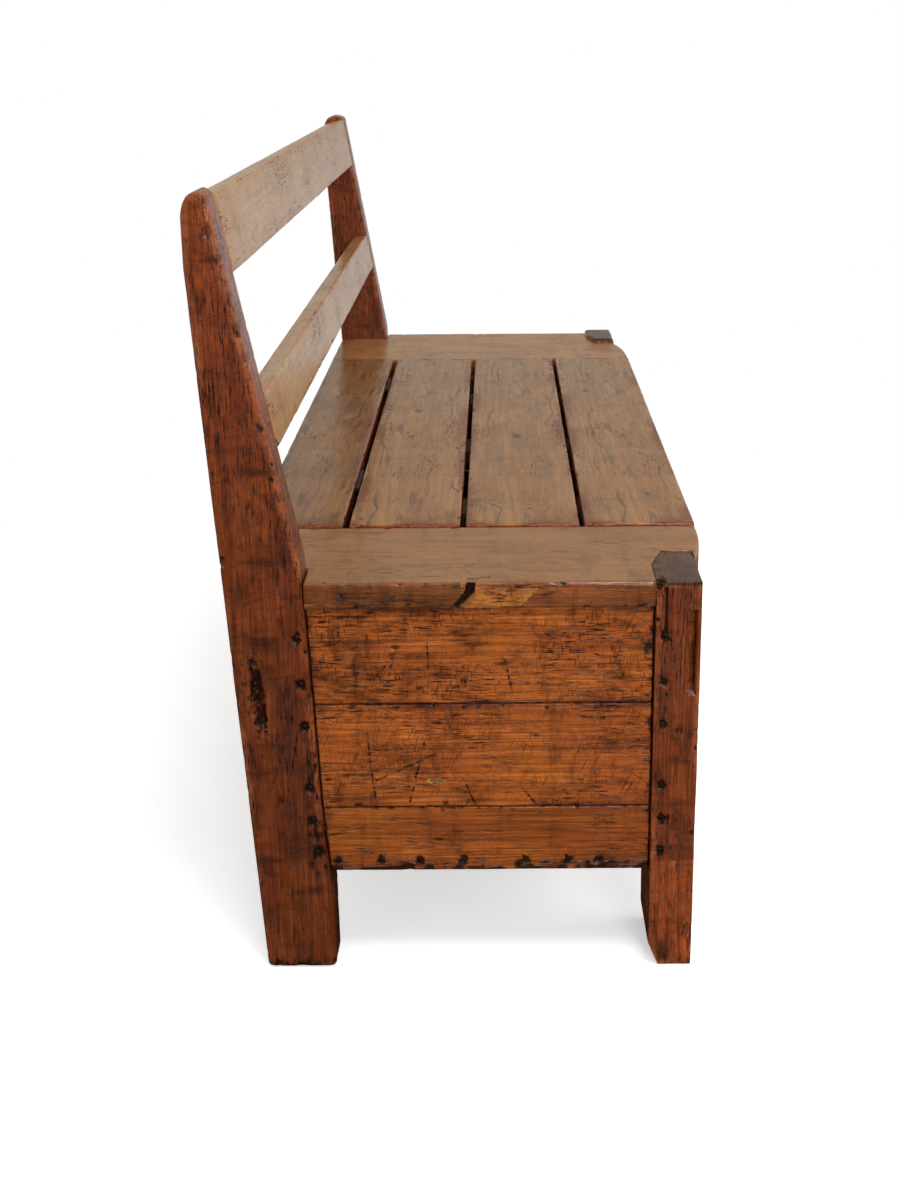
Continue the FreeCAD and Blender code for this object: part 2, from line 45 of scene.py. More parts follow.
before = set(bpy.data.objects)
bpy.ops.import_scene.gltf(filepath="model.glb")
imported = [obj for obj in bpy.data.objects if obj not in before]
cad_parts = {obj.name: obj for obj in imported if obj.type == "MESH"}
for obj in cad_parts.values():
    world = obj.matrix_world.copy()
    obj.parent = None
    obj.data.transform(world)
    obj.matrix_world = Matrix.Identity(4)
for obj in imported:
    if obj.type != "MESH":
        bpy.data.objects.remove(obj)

MM = 0.001
SIDES = ("left", "right")
Y_AXIS, Z_AXIS = 1, 2
X_WAY, Y_WAY, Z_WAY = Vector((1, 0, 0)), Vector((0, 1, 0)), Vector((0, 0, 1))
SHARP_ANGLE = math.radians(40)
FLAT_ANGLE = math.radians(1)
# How near two points lie that are one, and how near a plane a point lies that is in it
MERGE = 0.001 * MM
TOUCH = 0.01 * MM
NEAR = 0.1 * MM

# Turn of the pattern that lays its X axis along the grain of a board
GRAIN_TURNS = {
    "x": Euler((0, 0, 0)),
    "y": Euler((0, 0, math.pi / 2)),
    "z": Euler((0, -math.pi / 2, 0)),
}


def to_linear(hex_colour):
    """A written sRGB colour as the linear RGBA that a shader takes."""
    channels = [int(hex_colour[start:start + 2], 16) / 255 for start in (1, 3, 5)]
    linear = [c / 12.92 if c <= 0.04045 else ((c + 0.055) / 1.055) ** 2.4 for c in channels]
    return (*linear, 1.0)


def fill(tree, node, inputs):
    """Link the inputs of a node or give them their values."""
    for socket, value in inputs.items():
        if isinstance(value, bpy.types.NodeSocket):
            tree.links.new(value, node.inputs[socket])
        else:
            node.inputs[socket].default_value = value


def add(tree, kind, inputs=None, stops=None, **settings):
    """Add a node, set its options, fill its inputs and set the stops of its ramp."""
    node = tree.nodes.new(kind)
    for setting, value in settings.items():
        setattr(node, setting, value)
    fill(tree, node, inputs or {})
    if stops:
        ramp = node.color_ramp.elements
        while len(ramp) < len(stops):
            ramp.new(0.5)
        for element, (place, colour) in zip(ramp, stops):
            element.position = place
            element.color = to_linear(colour) if isinstance(colour, str) else (colour, colour, colour, 1)
    return node


def new_material(name):
    """An empty node material, its tree and its principled shader wired to the output."""
    material = bpy.data.materials.new(name)
    material.use_nodes = True
    tree = material.node_tree
    tree.nodes.clear()
    shader = add(tree, "ShaderNodeBsdfPrincipled")
    add(tree, "ShaderNodeOutputMaterial", {"Surface": shader.outputs["BSDF"]})
    return material, tree, shader


def marks(tree, place, size_mm, low, high, turn=(0, 0, 0), detail=4.0, roughness=0.55):
    """Spots or streaks of a real size: 0 where a noise is under low, 1 where it is over high."""
    sized = add(tree, "ShaderNodeMapping",
                {"Vector": place, "Rotation": turn, "Scale": [length * MM for length in size_mm]},
                vector_type="TEXTURE").outputs[0]
    noise_value = add(tree, "ShaderNodeTexNoise",
                      {"Vector": sized, "Scale": 1.0, "Detail": detail, "Roughness": roughness}).outputs[0]
    return add(tree, "ShaderNodeMapRange",
               {"Value": noise_value, "From Min": low, "From Max": high}).outputs[0]


def product(tree, *values):
    """All values multiplied together."""
    result = values[0]
    for value in values[1:]:
        result = add(tree, "ShaderNodeMath", {0: result, 1: value}, operation="MULTIPLY").outputs[0]
    return result


def strongest(tree, *values):
    """The largest of the values."""
    result = values[0]
    for value in values[1:]:
        result = add(tree, "ShaderNodeMath", {0: result, 1: value}, operation="MAXIMUM").outputs[0]
    return result


def blend_colour(tree, share, first, second):
    """Mix of two colours by a share."""
    return add(tree, "ShaderNodeMix", {"Factor": share, 6: first, 7: second}, data_type="RGBA").outputs[2]


def grain_place(tree, grain, pith):
    """Coordinates that start at the pith and have the grain along X."""
    place = add(tree, "ShaderNodeTexCoord").outputs["Object"]
    return add(tree, "ShaderNodeMapping",
               {"Vector": place, "Location": pith, "Rotation": GRAIN_TURNS[grain]},
               vector_type="TEXTURE").outputs[0]


# Size of the slow bends of the rings along X, Y and Z, and how far rings and knots are drawn out along X
RING_BEND = (0.26, 0.07, 0.07)
RING_STRETCH = (0.025, 1, 1)
KNOT_STRETCH = (0.6, 1, 1)
# Darkness over the width of one ring
RING_PROFILE = [(0.0, 0.3), (0.15, 0.0), (0.5, 0.15), (0.84, 1.0), (0.93, 0.75), (1.0, 0.3)]


def growth_rings(tree, place, grain, pith, ring_mm, warp_mm, knots):
    """Ring lines round the pith, long along the grain and bent round the knots; and the knots' hearts."""
    turn = GRAIN_TURNS[grain].to_matrix()
    bend = add(tree, "ShaderNodeMapping", {"Vector": place, "Scale": RING_BEND},
               vector_type="TEXTURE").outputs[0]
    bend = add(tree, "ShaderNodeTexNoise", {"Vector": bend, "Scale": 1.0, "Detail": 3.0}).outputs["Color"]
    across = warp_mm * MM * 2
    pushed = add(tree, "ShaderNodeVectorMath", {0: bend, 1: (0, across, across), 2: place},
                 operation="MULTIPLY_ADD").outputs[0]
    flat = add(tree, "ShaderNodeVectorMath", {0: pushed, 1: RING_STRETCH},
               operation="MULTIPLY").outputs[0]
    rings = add(tree, "ShaderNodeVectorMath", {0: flat}, operation="LENGTH").outputs["Value"]
    hearts = None
    for spot, size_mm, darkness in knots:
        centre = turn.transposed() @ (Vector(spot) - Vector(pith)) + Vector((0, across / 2, across / 2))
        away = add(tree, "ShaderNodeVectorMath", {0: pushed, 1: centre}, operation="SUBTRACT").outputs[0]
        oval = add(tree, "ShaderNodeVectorMath", {0: away, 1: KNOT_STRETCH},
                   operation="MULTIPLY").outputs[0]
        distance = add(tree, "ShaderNodeVectorMath", {0: oval}, operation="LENGTH").outputs["Value"]
        pull = add(tree, "ShaderNodeMapRange",
                   {"Value": distance, "From Min": size_mm * MM * 0.7, "From Max": size_mm * MM * 4.0,
                    "To Min": 1.0, "To Max": 0.0}, interpolation_type="SMOOTHSTEP").outputs[0]
        rings = add(tree, "ShaderNodeMix", {"Factor": pull, 2: rings, 3: distance}).outputs[0]
        heart = add(tree, "ShaderNodeMapRange",
                    {"Value": distance, "From Min": size_mm * MM * 0.35, "From Max": size_mm * MM * 0.8,
                     "To Min": darkness, "To Max": 0.0}, interpolation_type="SMOOTHSTEP").outputs[0]
        hearts = heart if hearts is None else strongest(tree, hearts, heart)
    turns = add(tree, "ShaderNodeMath", {0: rings, 1: ring_mm * MM}, operation="DIVIDE").outputs[0]
    wobble = marks(tree, place, (90, 14, 14), 0.0, 1.0, detail=2.0)
    shifted = add(tree, "ShaderNodeMath", {0: wobble, 1: 2.2, 2: turns},
                  operation="MULTIPLY_ADD").outputs[0]
    phase = add(tree, "ShaderNodeMath", {0: shifted}, operation="FRACT").outputs[0]
    line = add(tree, "ShaderNodeValToRGB", {"Fac": phase}, stops=RING_PROFILE).outputs[0]
    return line, hearts


def covered(tree, name, mottle):
    """Where a layer of the mesh covers the wood, with edges broken up by a fine mottle."""
    amount = add(tree, "ShaderNodeAttribute", attribute_name=name).outputs["Fac"]
    broken = add(tree, "ShaderNodeMath", {0: mottle, 1: 1.1, 2: amount},
                 operation="MULTIPLY_ADD").outputs[0]
    return add(tree, "ShaderNodeMapRange",
               {"Value": broken, "From Min": 0.98, "From Max": 1.3}).outputs[0]


# Turns of the three families of scratches, and the sheets they run in, by the way the worn face looks
SCRATCH_TURNS = {
    "y": ((0, 1.15, 0), (0, 1.75, 0), (0, -0.6, 0)),
    "z": ((0, 0, 1.0), (0, 0, 1.9), (0, 0, 0.4)),
}
SCRATCH_SHEETS = {"y": (46, 46, 1.0), "z": (46, 1.0, 46)}


def settled_dirt_and_shade(tree, place, face, mottle, dash, scratch):
    """Where dirt has stayed, and where painted shade lies: in the grime layer, which also holds the
    painted shade of gaps and hollows, in short cracks and checks, and in scratches.
    """
    patch = marks(tree, place, (120, 42, 42), 0.56 - 0.2 * dash, 0.66 - 0.1 * dash)
    dashes = product(tree, marks(tree, place, (17, 2.0, 2.0), 0.55, 0.62, detail=4.0), patch)
    checks = product(tree, marks(tree, place, (1.8, 11, 11), 0.6, 0.66, detail=3.0), patch, dash)
    crack = marks(tree, place, (60, 1.8, 1.8), 0.68 - 0.05 * dash, 0.72, detail=3.0)
    scores = [marks(tree, place, SCRATCH_SHEETS[face], 0.67 - 0.06 * scratch, 0.72, turn=turn, detail=2.0)
              for turn in SCRATCH_TURNS[face]]
    score = product(tree, strongest(tree, *scores), min(1.0, scratch + 0.2))
    return strongest(tree, covered(tree, "grime_and_shade", mottle), dashes, checks, crack, score)


def settled_smoke(tree, place, stain):
    """Where smoke and hands have left broad smudges and smears."""
    smudge = marks(tree, place, (52, 17, 17), 0.6 - 0.16 * stain, 0.74 - 0.1 * stain,
                   detail=8.0, roughness=0.72)
    smear = marks(tree, place, (24, 75, 75), 0.57 - 0.1 * stain, 0.7, detail=7.0, roughness=0.65)
    return product(tree, strongest(tree, smudge, product(tree, smear, 0.75)),
                   0.9 * min(1.0, 0.4 + stain))


def waxed_pine(name, grain, tones, pith, face="z", ring_mm=4.0, ring_depth=0.5, warp_mm=7.0, knots=(),
               streak=0.5, stain=0.5, dash=0.5, scratch=0.5, contrast=0.45, relief_mm=0.6,
               wax_roughness=0.16):
    """Old hand-planed pine under many coats of wax.

    Soft amber early wood lies between darker ring lines, fine fibres and broad streaks run along the
    grain, dirt has settled in smudges, short cracks and scratches, handled edges are rubbed, and the
    wax lies over all as a clear gloss that follows the hollows. Fibres, veins and cracks are drawn
    about twice as coarse as real ones, so that they show.
    """
    early, late, glow, smoke, dark, rubbed, bare = map(to_linear, tones)
    material, tree, shader = new_material(name)
    place = grain_place(tree, grain, pith)
    line, hearts = growth_rings(tree, place, grain, pith, ring_mm, warp_mm, knots)
    fibre = marks(tree, place, (70, 1.9, 1.9), 0.3, 0.7, detail=5.0, roughness=0.7)
    strand = marks(tree, place, (130, 4.5, 4.5), 0.38, 0.62, detail=4.0)
    band = marks(tree, place, (230, 12, 12), 0.38, 0.62, detail=4.0)
    cloud = marks(tree, place, (130, 50, 50), 0.36, 0.64, detail=4.0)
    fade = marks(tree, place, (80, 22, 22), 0.35, 0.6)
    line_depth = product(tree, line, fade, ring_depth)
    band_depth = add(tree, "ShaderNodeMath", {0: strand, 1: 0.45, 2: product(tree, band, 0.55)},
                     operation="MULTIPLY_ADD").outputs[0]
    vein = marks(tree, place, (170, 2.6, 2.6), 0.55, 0.63, detail=3.0)
    lateness = strongest(tree, line_depth, product(tree, band_depth, streak), product(tree, vein, streak))
    wood = blend_colour(tree, lateness, early, late)
    wood = blend_colour(tree, product(tree, cloud, 0.6), wood, glow)
    tone = add(tree, "ShaderNodeMapRange",
               {"Value": fibre, "To Min": 1 - contrast, "To Max": 1 + contrast}).outputs[0]
    shade = add(tree, "ShaderNodeAttribute", attribute_name="tone").outputs["Fac"]
    shade = add(tree, "ShaderNodeMath", {0: shade, 1: 1.0}, operation="ADD").outputs[0]
    wood = add(tree, "ShaderNodeVectorMath", {0: wood, "Scale": product(tree, tone, shade)},
               operation="SCALE").outputs[0]
    mottle = marks(tree, place, (16, 4, 4), 0.2, 0.8, detail=5.0, roughness=0.65)
    bareness = covered(tree, "bare", mottle)
    wood = blend_colour(tree, bareness, wood, bare)
    edge = add(tree, "ShaderNodeAttribute", attribute_name="edge").outputs["Fac"]
    edge_noise = add(tree, "ShaderNodeMath", {0: edge, 1: cloud, 2: 0.1},
                     operation="MULTIPLY_ADD").outputs[0]
    rub = add(tree, "ShaderNodeMapRange",
              {"Value": edge_noise, "From Min": 0.35, "From Max": 0.7}).outputs[0]
    wood = blend_colour(tree, rub, wood, rubbed)
    wood = blend_colour(tree, settled_smoke(tree, place, stain), wood, smoke)
    dirt_and_shade = settled_dirt_and_shade(tree, place, face, mottle, dash, scratch)
    if hearts is not None:
        dirt_and_shade = strongest(tree, dirt_and_shade, hearts)
    # dirt, and the painted shade that the grime layer holds in gaps and hollows, darken the wood towards
    # the dark colour
    wood = blend_colour(tree, product(tree, dirt_and_shade, 0.9), wood, dark)
    relief = add(tree, "ShaderNodeMath", {0: fibre, 1: 0.3, 2: product(tree, line_depth, 0.4)},
                 operation="MULTIPLY_ADD").outputs[0]
    sunk = add(tree, "ShaderNodeMath", {0: dirt_and_shade, 1: -2.2, 2: relief}, operation="MULTIPLY_ADD").outputs[0]
    bump = add(tree, "ShaderNodeBump",
               {"Height": sunk, "Strength": 0.85, "Distance": relief_mm * MM}).outputs[0]
    dull = add(tree, "ShaderNodeMapRange", {"Value": cloud, "To Min": 0.35, "To Max": 0.5}).outputs[0]
    fill(tree, shader, {
        "Base Color": wood, "Roughness": dull, "Normal": bump, "IOR": 1.5, "Specular IOR Level": 0.12,
        "Coat Weight": 0.85, "Coat Roughness": wax_roughness, "Coat IOR": 1.4, "Coat Normal": bump})
    return material


def dry_pine(name, grain, pith):
    """Sawn pine that was never waxed: grey-brown, dull, with plain rings and a furry surface."""
    material, tree, shader = new_material(name)
    place = grain_place(tree, grain, pith)
    line = growth_rings(tree, place, grain, pith, ring_mm=6.0, warp_mm=8.0, knots=())[0]
    fibre = marks(tree, place, (50, 1.2, 1.2), 0.3, 0.7, detail=5.0)
    wood = blend_colour(tree, product(tree, line, 0.7), to_linear("#7f5f40"), to_linear("#5a3c24"))
    tone = add(tree, "ShaderNodeMapRange", {"Value": fibre, "To Min": 0.6, "To Max": 1.25}).outputs[0]
    wood = add(tree, "ShaderNodeVectorMath", {0: wood, "Scale": tone}, operation="SCALE").outputs[0]
    grime_and_shade = add(tree, "ShaderNodeAttribute", attribute_name="grime_and_shade").outputs["Fac"]
    wood = blend_colour(tree, grime_and_shade, wood, to_linear("#1e130c"))
    bump = add(tree, "ShaderNodeBump",
               {"Height": fibre, "Strength": 0.6, "Distance": 0.5 * MM}).outputs[0]
    fill(tree, shader, {"Base Color": wood, "Normal": bump, "Roughness": 0.85})
    return material


def forged_iron(name):
    """Hand-forged iron gone brown-black, oily where it is rubbed, with rust in the hollows."""
    material, tree, shader = new_material(name)
    place = add(tree, "ShaderNodeTexCoord").outputs["Object"]
    patch = add(tree, "ShaderNodeTexNoise",
                {"Vector": place, "Scale": 1 / (9 * MM), "Detail": 5.0}).outputs[0]
    pits = add(tree, "ShaderNodeTexNoise",
               {"Vector": place, "Scale": 1 / (1.6 * MM), "Detail": 4.0}).outputs[0]
    colour = add(tree, "ShaderNodeValToRGB", {"Fac": patch},
                 stops=[(0.35, "#1d1815"), (0.52, "#2b211b"), (0.68, "#4a2a17")]).outputs[0]
    rough = add(tree, "ShaderNodeMapRange",
                {"Value": patch, "From Min": 0.35, "From Max": 0.68,
                 "To Min": 0.34, "To Max": 0.8}).outputs[0]
    bump = add(tree, "ShaderNodeBump", {"Height": pits, "Strength": 0.5, "Distance": 0.3 * MM}).outputs[0]
    fill(tree, shader, {"Base Color": colour, "Metallic": 0.75, "Roughness": rough, "Normal": bump})
    return material


def block(low, high):
    """A box between two corners."""
    mesh = bmesh.new()
    bmesh.ops.create_cube(mesh, size=1.0)
    bmesh.ops.scale(mesh, vec=high - low, verts=mesh.verts)
    bmesh.ops.translate(mesh, vec=(low + high) / 2, verts=mesh.verts)
    return mesh


def corners(points):
    """Lowest and highest corner of the box round some points."""
    points = list(points)
    low = Vector([min(point[axis] for point in points) for axis in range(3)])
    high = Vector([max(point[axis] for point in points) for axis in range(3)])
    return low, high


def everything(mesh):
    """All points, edges and faces."""
    return mesh.verts[:] + mesh.edges[:] + mesh.faces[:]


def soften(mesh, radius, segments=3, wanted=None):
    """Round the sharp edges, or those of them that the test picks."""
    sharp = [edge for edge in mesh.edges
             if edge.calc_face_angle(0) > SHARP_ANGLE and (wanted is None or wanted(edge))]
    bmesh.ops.bevel(mesh, geom=sharp, offset=radius, segments=segments, profile=0.5,
                    affect="EDGES", material=-1, clamp_overlap=True)


def slice_up(mesh, axis, places):
    """Cut faces across one axis at each place, so that the surface can be worn there."""
    normal = Vector([float(index == axis) for index in range(3)])
    for place in places:
        bmesh.ops.bisect_plane(mesh, geom=everything(mesh), dist=0.02 * MM,
                               plane_co=normal * place, plane_no=normal)


def steps(low, high, spacing):
    """Evenly spaced places between two ends, without the ends."""
    count = max(1, round((high - low) / spacing))
    return [low + (high - low) * index / count for index in range(1, count)]


def section(node, along, place, across):
    """Lowest and highest value across, where a plane along one axis cuts a node of the frame."""
    found = []
    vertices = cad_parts[node].data.vertices
    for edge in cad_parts[node].data.edges:
        start, end = (vertices[index].co for index in edge.vertices)
        rise = end[along] - start[along]
        if rise and (start[along] - place) * (end[along] - place) <= 0:
            found.append(start[across] + (end[across] - start[across]) * (place - start[along]) / rise)
    return min(found), max(found)


def fit(mesh, node, along, across, margin):
    """Squeeze a block so that at each place along one axis it is as wide as the node is there."""
    low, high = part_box(node)
    widths = {}
    for vert in mesh.verts:
        place = min(max(vert.co[along], low[along] + TOUCH), high[along] - TOUCH)
        key = round(place / (0.05 * MM))
        if key not in widths:
            widths[key] = section(node, along, place, across)
        start, end = widths[key]
        value = vert.co[across]
        rim = min(margin, (end - start) * 0.45)
        if value < low[across] + rim:
            value = start + value - low[across]
        elif value > high[across] - rim:
            value = end - (high[across] - value)
        else:
            share = (value - low[across] - rim) / (high[across] - low[across] - 2 * rim)
            value = start + rim + (end - start - 2 * rim) * share
        vert.co[across] = value


def mark_edges(mesh, reach):
    """Store how near each point is to an edge of the block: 1 on the edge, 0 at this reach."""
    low, high = corners(vert.co for vert in mesh.verts)
    layer = mesh.verts.layers.float.new("edge")
    for vert in mesh.verts:
        gaps = sorted(min(vert.co[axis] - low[axis], high[axis] - vert.co[axis]) for axis in range(3))
        vert[layer] = max(0.0, 1 - gaps[1] / reach)


def stored(mesh, name):
    """The layer that holds one value of a point: its edge, grime and painted shade, tone or bareness."""
    return mesh.verts.layers.float.get(name) or mesh.verts.layers.float.new(name)


def weather(mesh, seed, swell, edge_loss):
    """Wear the surface inwards: slow hollows on the flats, uneven loss and nicks along the edges."""
    mesh.normal_update()
    edge, grime_and_shade = stored(mesh, "edge"), stored(mesh, "grime_and_shade")
    origin = Vector((seed * 7.3, seed * 3.1, seed * 5.7))
    for vert in mesh.verts:
        place = vert.co + origin
        slow = 0.5 + 0.5 * noise.noise(place / (85 * MM))
        ripple = 0.5 + 0.5 * noise.noise(place / (17 * MM))
        loss = swell * (0.75 * slow + 0.25 * ripple)
        rub = 0.5 + 0.5 * noise.noise(place / (38 * MM))
        nick = max(0.0, noise.noise(place / (9 * MM)) - 0.3) * 2.2
        loss += edge_loss * vert[edge] ** 2 * (0.7 * rub + 1.6 * nick)
        vert.co -= vert.normal * loss
        vert[grime_and_shade] = max(vert[grime_and_shade], min(1.0, nick * vert[edge] * 1.5))


def stain(mesh, name, amount, grain_mm=9.0, ragged=0.5):
    """Give each point a value of a layer by its place, broken up by a noise."""
    layer = stored(mesh, name)
    for vert in mesh.verts:
        value = amount(vert.co)
        if value:
            value *= 1 + ragged * 2 * noise.noise(vert.co / (grain_mm * MM))
            vert[layer] = value if abs(value) > abs(vert[layer]) else vert[layer]


def from_middle(place, centre, radii):
    """How far a place is from the middle of an oval: 1 on its rim."""
    offset = place - centre
    return Vector([offset[axis] / radii[axis] for axis in range(3)]).length


def smudges(mesh, face_x, reach, spots, grain_mm, ragged, share=1.0):
    """Dark ovals on an end face, thin at the rim, by middle and half size along Y and Z in mm."""
    for y_mm, z_mm, half_y, half_z, amount in spots:
        centre = Vector((face_x, y_mm * MM, z_mm * MM))
        radii = (reach, half_y * MM, half_z * MM)
        stain(mesh, "grime_and_shade",
              lambda place: amount * share * max(0.0, 1 - from_middle(place, centre, radii) ** 2),
              grain_mm, ragged)


def sink(mesh, way, depth, dirt_and_shade, cover):
    """Push the surface that faces against the way in, where the cover of a place is over 0, and darken it
    there: dirt, and painted shade in the hollow.
    """
    grime_and_shade = stored(mesh, "grime_and_shade")
    for vert in mesh.verts:
        if vert.normal.dot(way) < -0.3:
            share = cover(vert.co)
            if share > 0:
                vert.co += way * depth * min(1.0, share)
                # painted shade and dirt: the sunk surface is darkened by the given share
                vert[grime_and_shade] = max(vert[grime_and_shade], dirt_and_shade * min(1.0, 1.4 * share))


def dent(mesh, centre, radii, depth, way, dirt_and_shade=0.0, ragged=0.35):
    """An oval hollow with a ragged rim."""
    def cover(place):
        return 1.7 * (1 - from_middle(place, centre, radii) - ragged * noise.noise(place / (3.5 * MM)))
    sink(mesh, way, depth, dirt_and_shade, cover)


def scar(mesh, path, width, depth, way, dirt_and_shade=1.0):
    """A crack or cut that follows a path over the surface."""
    def cover(place):
        nearest = width
        for start, end in zip(path, path[1:]):
            along = end - start
            share = min(1.0, max(0.0, (place - start).dot(along) / along.length_squared))
            nearest = min(nearest, (place - start - along * share).length)
        return 2 * (1 - nearest / width)
    sink(mesh, way, depth, dirt_and_shade, cover)


def carve(mesh, outline, axes, depth, way, dirt_and_shade=0.9):
    """Break out what lies inside an outline, which is given along two axes."""
    def cover(place):
        point = [place[axis] + 0.5 * MM * noise.noise(place / (2.5 * MM)) for axis in axes]
        inside = False
        for start, end in zip(outline, outline[1:] + outline[:1]):
            if (start[1] > point[1]) != (end[1] > point[1]):
                crossing = start[0] + (end[0] - start[0]) * (point[1] - start[1]) / (end[1] - start[1])
                inside ^= point[0] < crossing
        return float(inside)
    sink(mesh, way, depth, dirt_and_shade, cover)


def refine(mesh, centre, reach):
    """Halve the mesh round a spot."""
    edges = [edge for edge in mesh.edges
             if all((vert.co - centre).length < reach for vert in edge.verts)]
    bmesh.ops.subdivide_edges(mesh, edges=edges, cuts=1, use_grid_fill=True)
    mesh.normal_update()


def finish_piece(name, mesh, material, body, slot, *nodes):
    """Turn a bmesh into a smooth piece that rides on a body and stands for its nodes."""
    bmesh.ops.recalc_face_normals(mesh, faces=mesh.faces)
    for face in mesh.faces:
        face.smooth = True
    data = bpy.data.meshes.new(name)
    mesh.to_mesh(data)
    mesh.free()
    data.materials.append(material)
    piece = bpy.data.objects.new(name, data)
    bpy.context.scene.collection.objects.link(piece)
    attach(piece, body)
    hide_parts(*nodes)
    return piece


def second_finish(piece, material, chosen):
    """Give the faces whose normal is chosen a finish of their own."""
    piece.data.materials.append(material)
    for face in piece.data.polygons:
        if chosen(face.normal):
            face.material_index = 1


def board(low, high, spacing, radius, reach=12 * MM, places=None, first=None):
    """A block with rounded edges, cut fine enough to be worn, and its edges marked."""
    mesh = block(low, high)
    if first:
        first(mesh)
    soften(mesh, radius)
    for axis, extra in (places or {}).items():
        slice_up(mesh, axis, extra)
    order = sorted(range(3), key=lambda axis: low[axis] - high[axis])
    for axis in order:
        slice_up(mesh, axis, steps(low[axis], high[axis], spacing))
    mark_edges(mesh, reach)
    return mesh


def copy_of(node, spacing):
    """A merged copy of a node's mesh, cut fine enough to be worn, and its edges marked."""
    low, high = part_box(node)
    mesh = bmesh.new()
    mesh.from_mesh(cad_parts[node].data)
    bmesh.ops.remove_doubles(mesh, verts=mesh.verts, dist=MERGE)
    bmesh.ops.dissolve_limit(mesh, angle_limit=FLAT_ANGLE, verts=mesh.verts, edges=mesh.edges)
    for axis in sorted(range(3), key=lambda axis: low[axis] - high[axis]):
        slice_up(mesh, axis, steps(low[axis], high[axis], spacing))
    mark_edges(mesh, 12 * MM)
    return mesh


def islands(node):
    """Lowest and highest corner of each separate solid of a node."""
    mesh = bmesh.new()
    mesh.from_mesh(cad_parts[node].data)
    bmesh.ops.remove_doubles(mesh, verts=mesh.verts, dist=MERGE)
    left = set(mesh.verts)
    found = []
    while left:
        front = [left.pop()]
        group = list(front)
        while front:
            for edge in front.pop().link_edges:
                for vert in edge.verts:
                    if vert in left:
                        left.remove(vert)
                        front.append(vert)
                        group.append(vert)
        found.append(corners(vert.co for vert in group))
    mesh.free()
    return sorted(found, key=lambda pair: tuple(pair[0]))


def nail_pits(mesh, node, way, face_x):
    """Ragged dark pits round the nails of a node that are driven into this piece."""
    low, high = corners(vert.co for vert in mesh.verts)
    for start, end in islands(node):
        place = (start + end) / 2
        place.x = face_x
        if low.y < place.y < high.y and low.z < place.z < high.z:
            refine(mesh, place, 13 * MM)
            dent(mesh, place, PIT_RADII, PIT_DEPTH, way, dirt_and_shade=0.95, ragged=0.45)


def wood_settings():
    """The sizes of the wear that all wooden pieces share."""
    return bpy.context.scene.settle_wood


class SettleWood(PropertyGroup):
    fine_spacing: FloatProperty(
        name="Fine spacing", description="Mesh spacing on pieces near the eye",
        default=3 * MM, min=1.5 * MM, unit="LENGTH")
    coarse_spacing: FloatProperty(
        name="Coarse spacing", description="Mesh spacing on pieces inside or behind",
        default=6 * MM, min=3 * MM, unit="LENGTH")
    edge_round: FloatProperty(
        name="Edge round", description="Radius of the handled edges of the back rails",
        default=2.5 * MM, min=0.5 * MM, unit="LENGTH")
    swell: FloatProperty(
        name="Surface hollows", description="Depth of the slow hollows of a hand-planed face",
        default=0.5 * MM, min=0, unit="LENGTH")
    edge_loss: FloatProperty(
        name="Edge loss", description="Depth of the wear along the edges",
        default=1.3 * MM, min=0, unit="LENGTH")


class SettleStage(PropertyGroup):
    floor_colour: FloatVectorProperty(
        name="Floor colour", description="Colour of the plain floor", subtype="COLOR", size=4,
        default=to_linear("#f4f4f2"))
    lamp_power: FloatProperty(
        name="Lamp power", description="Power of the main soft lamp", default=36.0, min=0, unit="POWER")
    sky_level: FloatProperty(
        name="Sky level", description="Strength of the even light from all round", default=0.65, min=0)


# Colours of the pine, by the boards that share them: early wood, late wood, glow, smoke,
# dirt and painted shade, rubbed edge and bare wood
PINE = {
    "post": ("#9c4c1e", "#3e140a", "#702a0e", "#1a0a05", "#0f0603", "#9a5028", "#4c2c0a"),
    "end": ("#c86e2a", "#581f08", "#984412", "#241006", "#120703", "#7a3a1a", "#b8864a"),
    "seat_end": ("#98683c", "#4a3018", "#80542c", "#30200f", "#140a06", "#8a4822", "#b87a3a"),
    "seat_face": ("#aa622c", "#48200c", "#84401a", "#200e06", "#0d0503", "#7a4424", "#b87232"),
    "seat": ("#9c6c3c", "#3c220f", "#86562c", "#442c1c", "#140a06", "#6c3414", "#ba8642"),
    "rail": ("#b08452", "#644222", "#9c6c3e", "#443018", "#170c07", "#a66a3c", "#b4824a"),
}

# Worn head of the front posts, along X, along Y and down
HEAD_WEAR_RUN = 38 * MM
HEAD_WEAR_DEPTH = 14 * MM
HEAD_WEAR_HEIGHT = 60 * MM
FOOT_WEAR_DEPTH = 11 * MM
FOOT_WEAR_HEIGHT = 26 * MM
# Bare top of their heads
BARE_TOP = 4 * MM
# Open mortise in the end of the front posts: its front wall, width, depth, and its ends by the boards
SLOT_WALL = 4 * MM
SLOT_WIDTH = 9 * MM
SLOT_DEPTH = 16 * MM
SLOT_OVER_BOARD = 11 * MM
SLOT_UNDER_RAIL = 4 * MM
# Shadow gap where the end boards enter the posts
TONGUE = 18 * MM
GAP_WIDTH = 2.2 * MM
GAP_DEPTH = 6 * MM
# Pits round the nails, across the face and into it, and how far a head lies in its pit
PIT_RADII = (9 * MM, 6.2 * MM, 8 * MM)
PIT_DEPTH = 2.2 * MM
NAIL_SINK = 0.7 * MM

# Where the wood turns paler upwards and darker downwards, and the height of the back over it
SEAT_LEVEL = 0.45
BACK_RISE = 0.4
# Worn rear corner of the back posts, down and forwards
TOP_WEAR_HEIGHT = 26 * MM
TOP_WEAR_RUN = 25 * MM
TOP_WEAR_DEPTH = 8 * MM

# Knots of the near back post: Y and Z, size in mm and darkness
POST_KNOTS = ((0.1638, 0.1283, 7, 0.8), (0.2345, 0.812, 7, 0.7), (0.195, 0.2068, 5, 0.6),
              (0.2119, 0.3234, 12, 0.3))
# The rotten pocket in its side: the middle, and the three hollows by shift and half size in mm
POCKET_Y, POCKET_Z = 0.2119, 0.3234
POCKET_HOLLOWS = ((0, 0, 6, 48), (5, 12, 4, 30), (-5, -20, 3.5, 26))

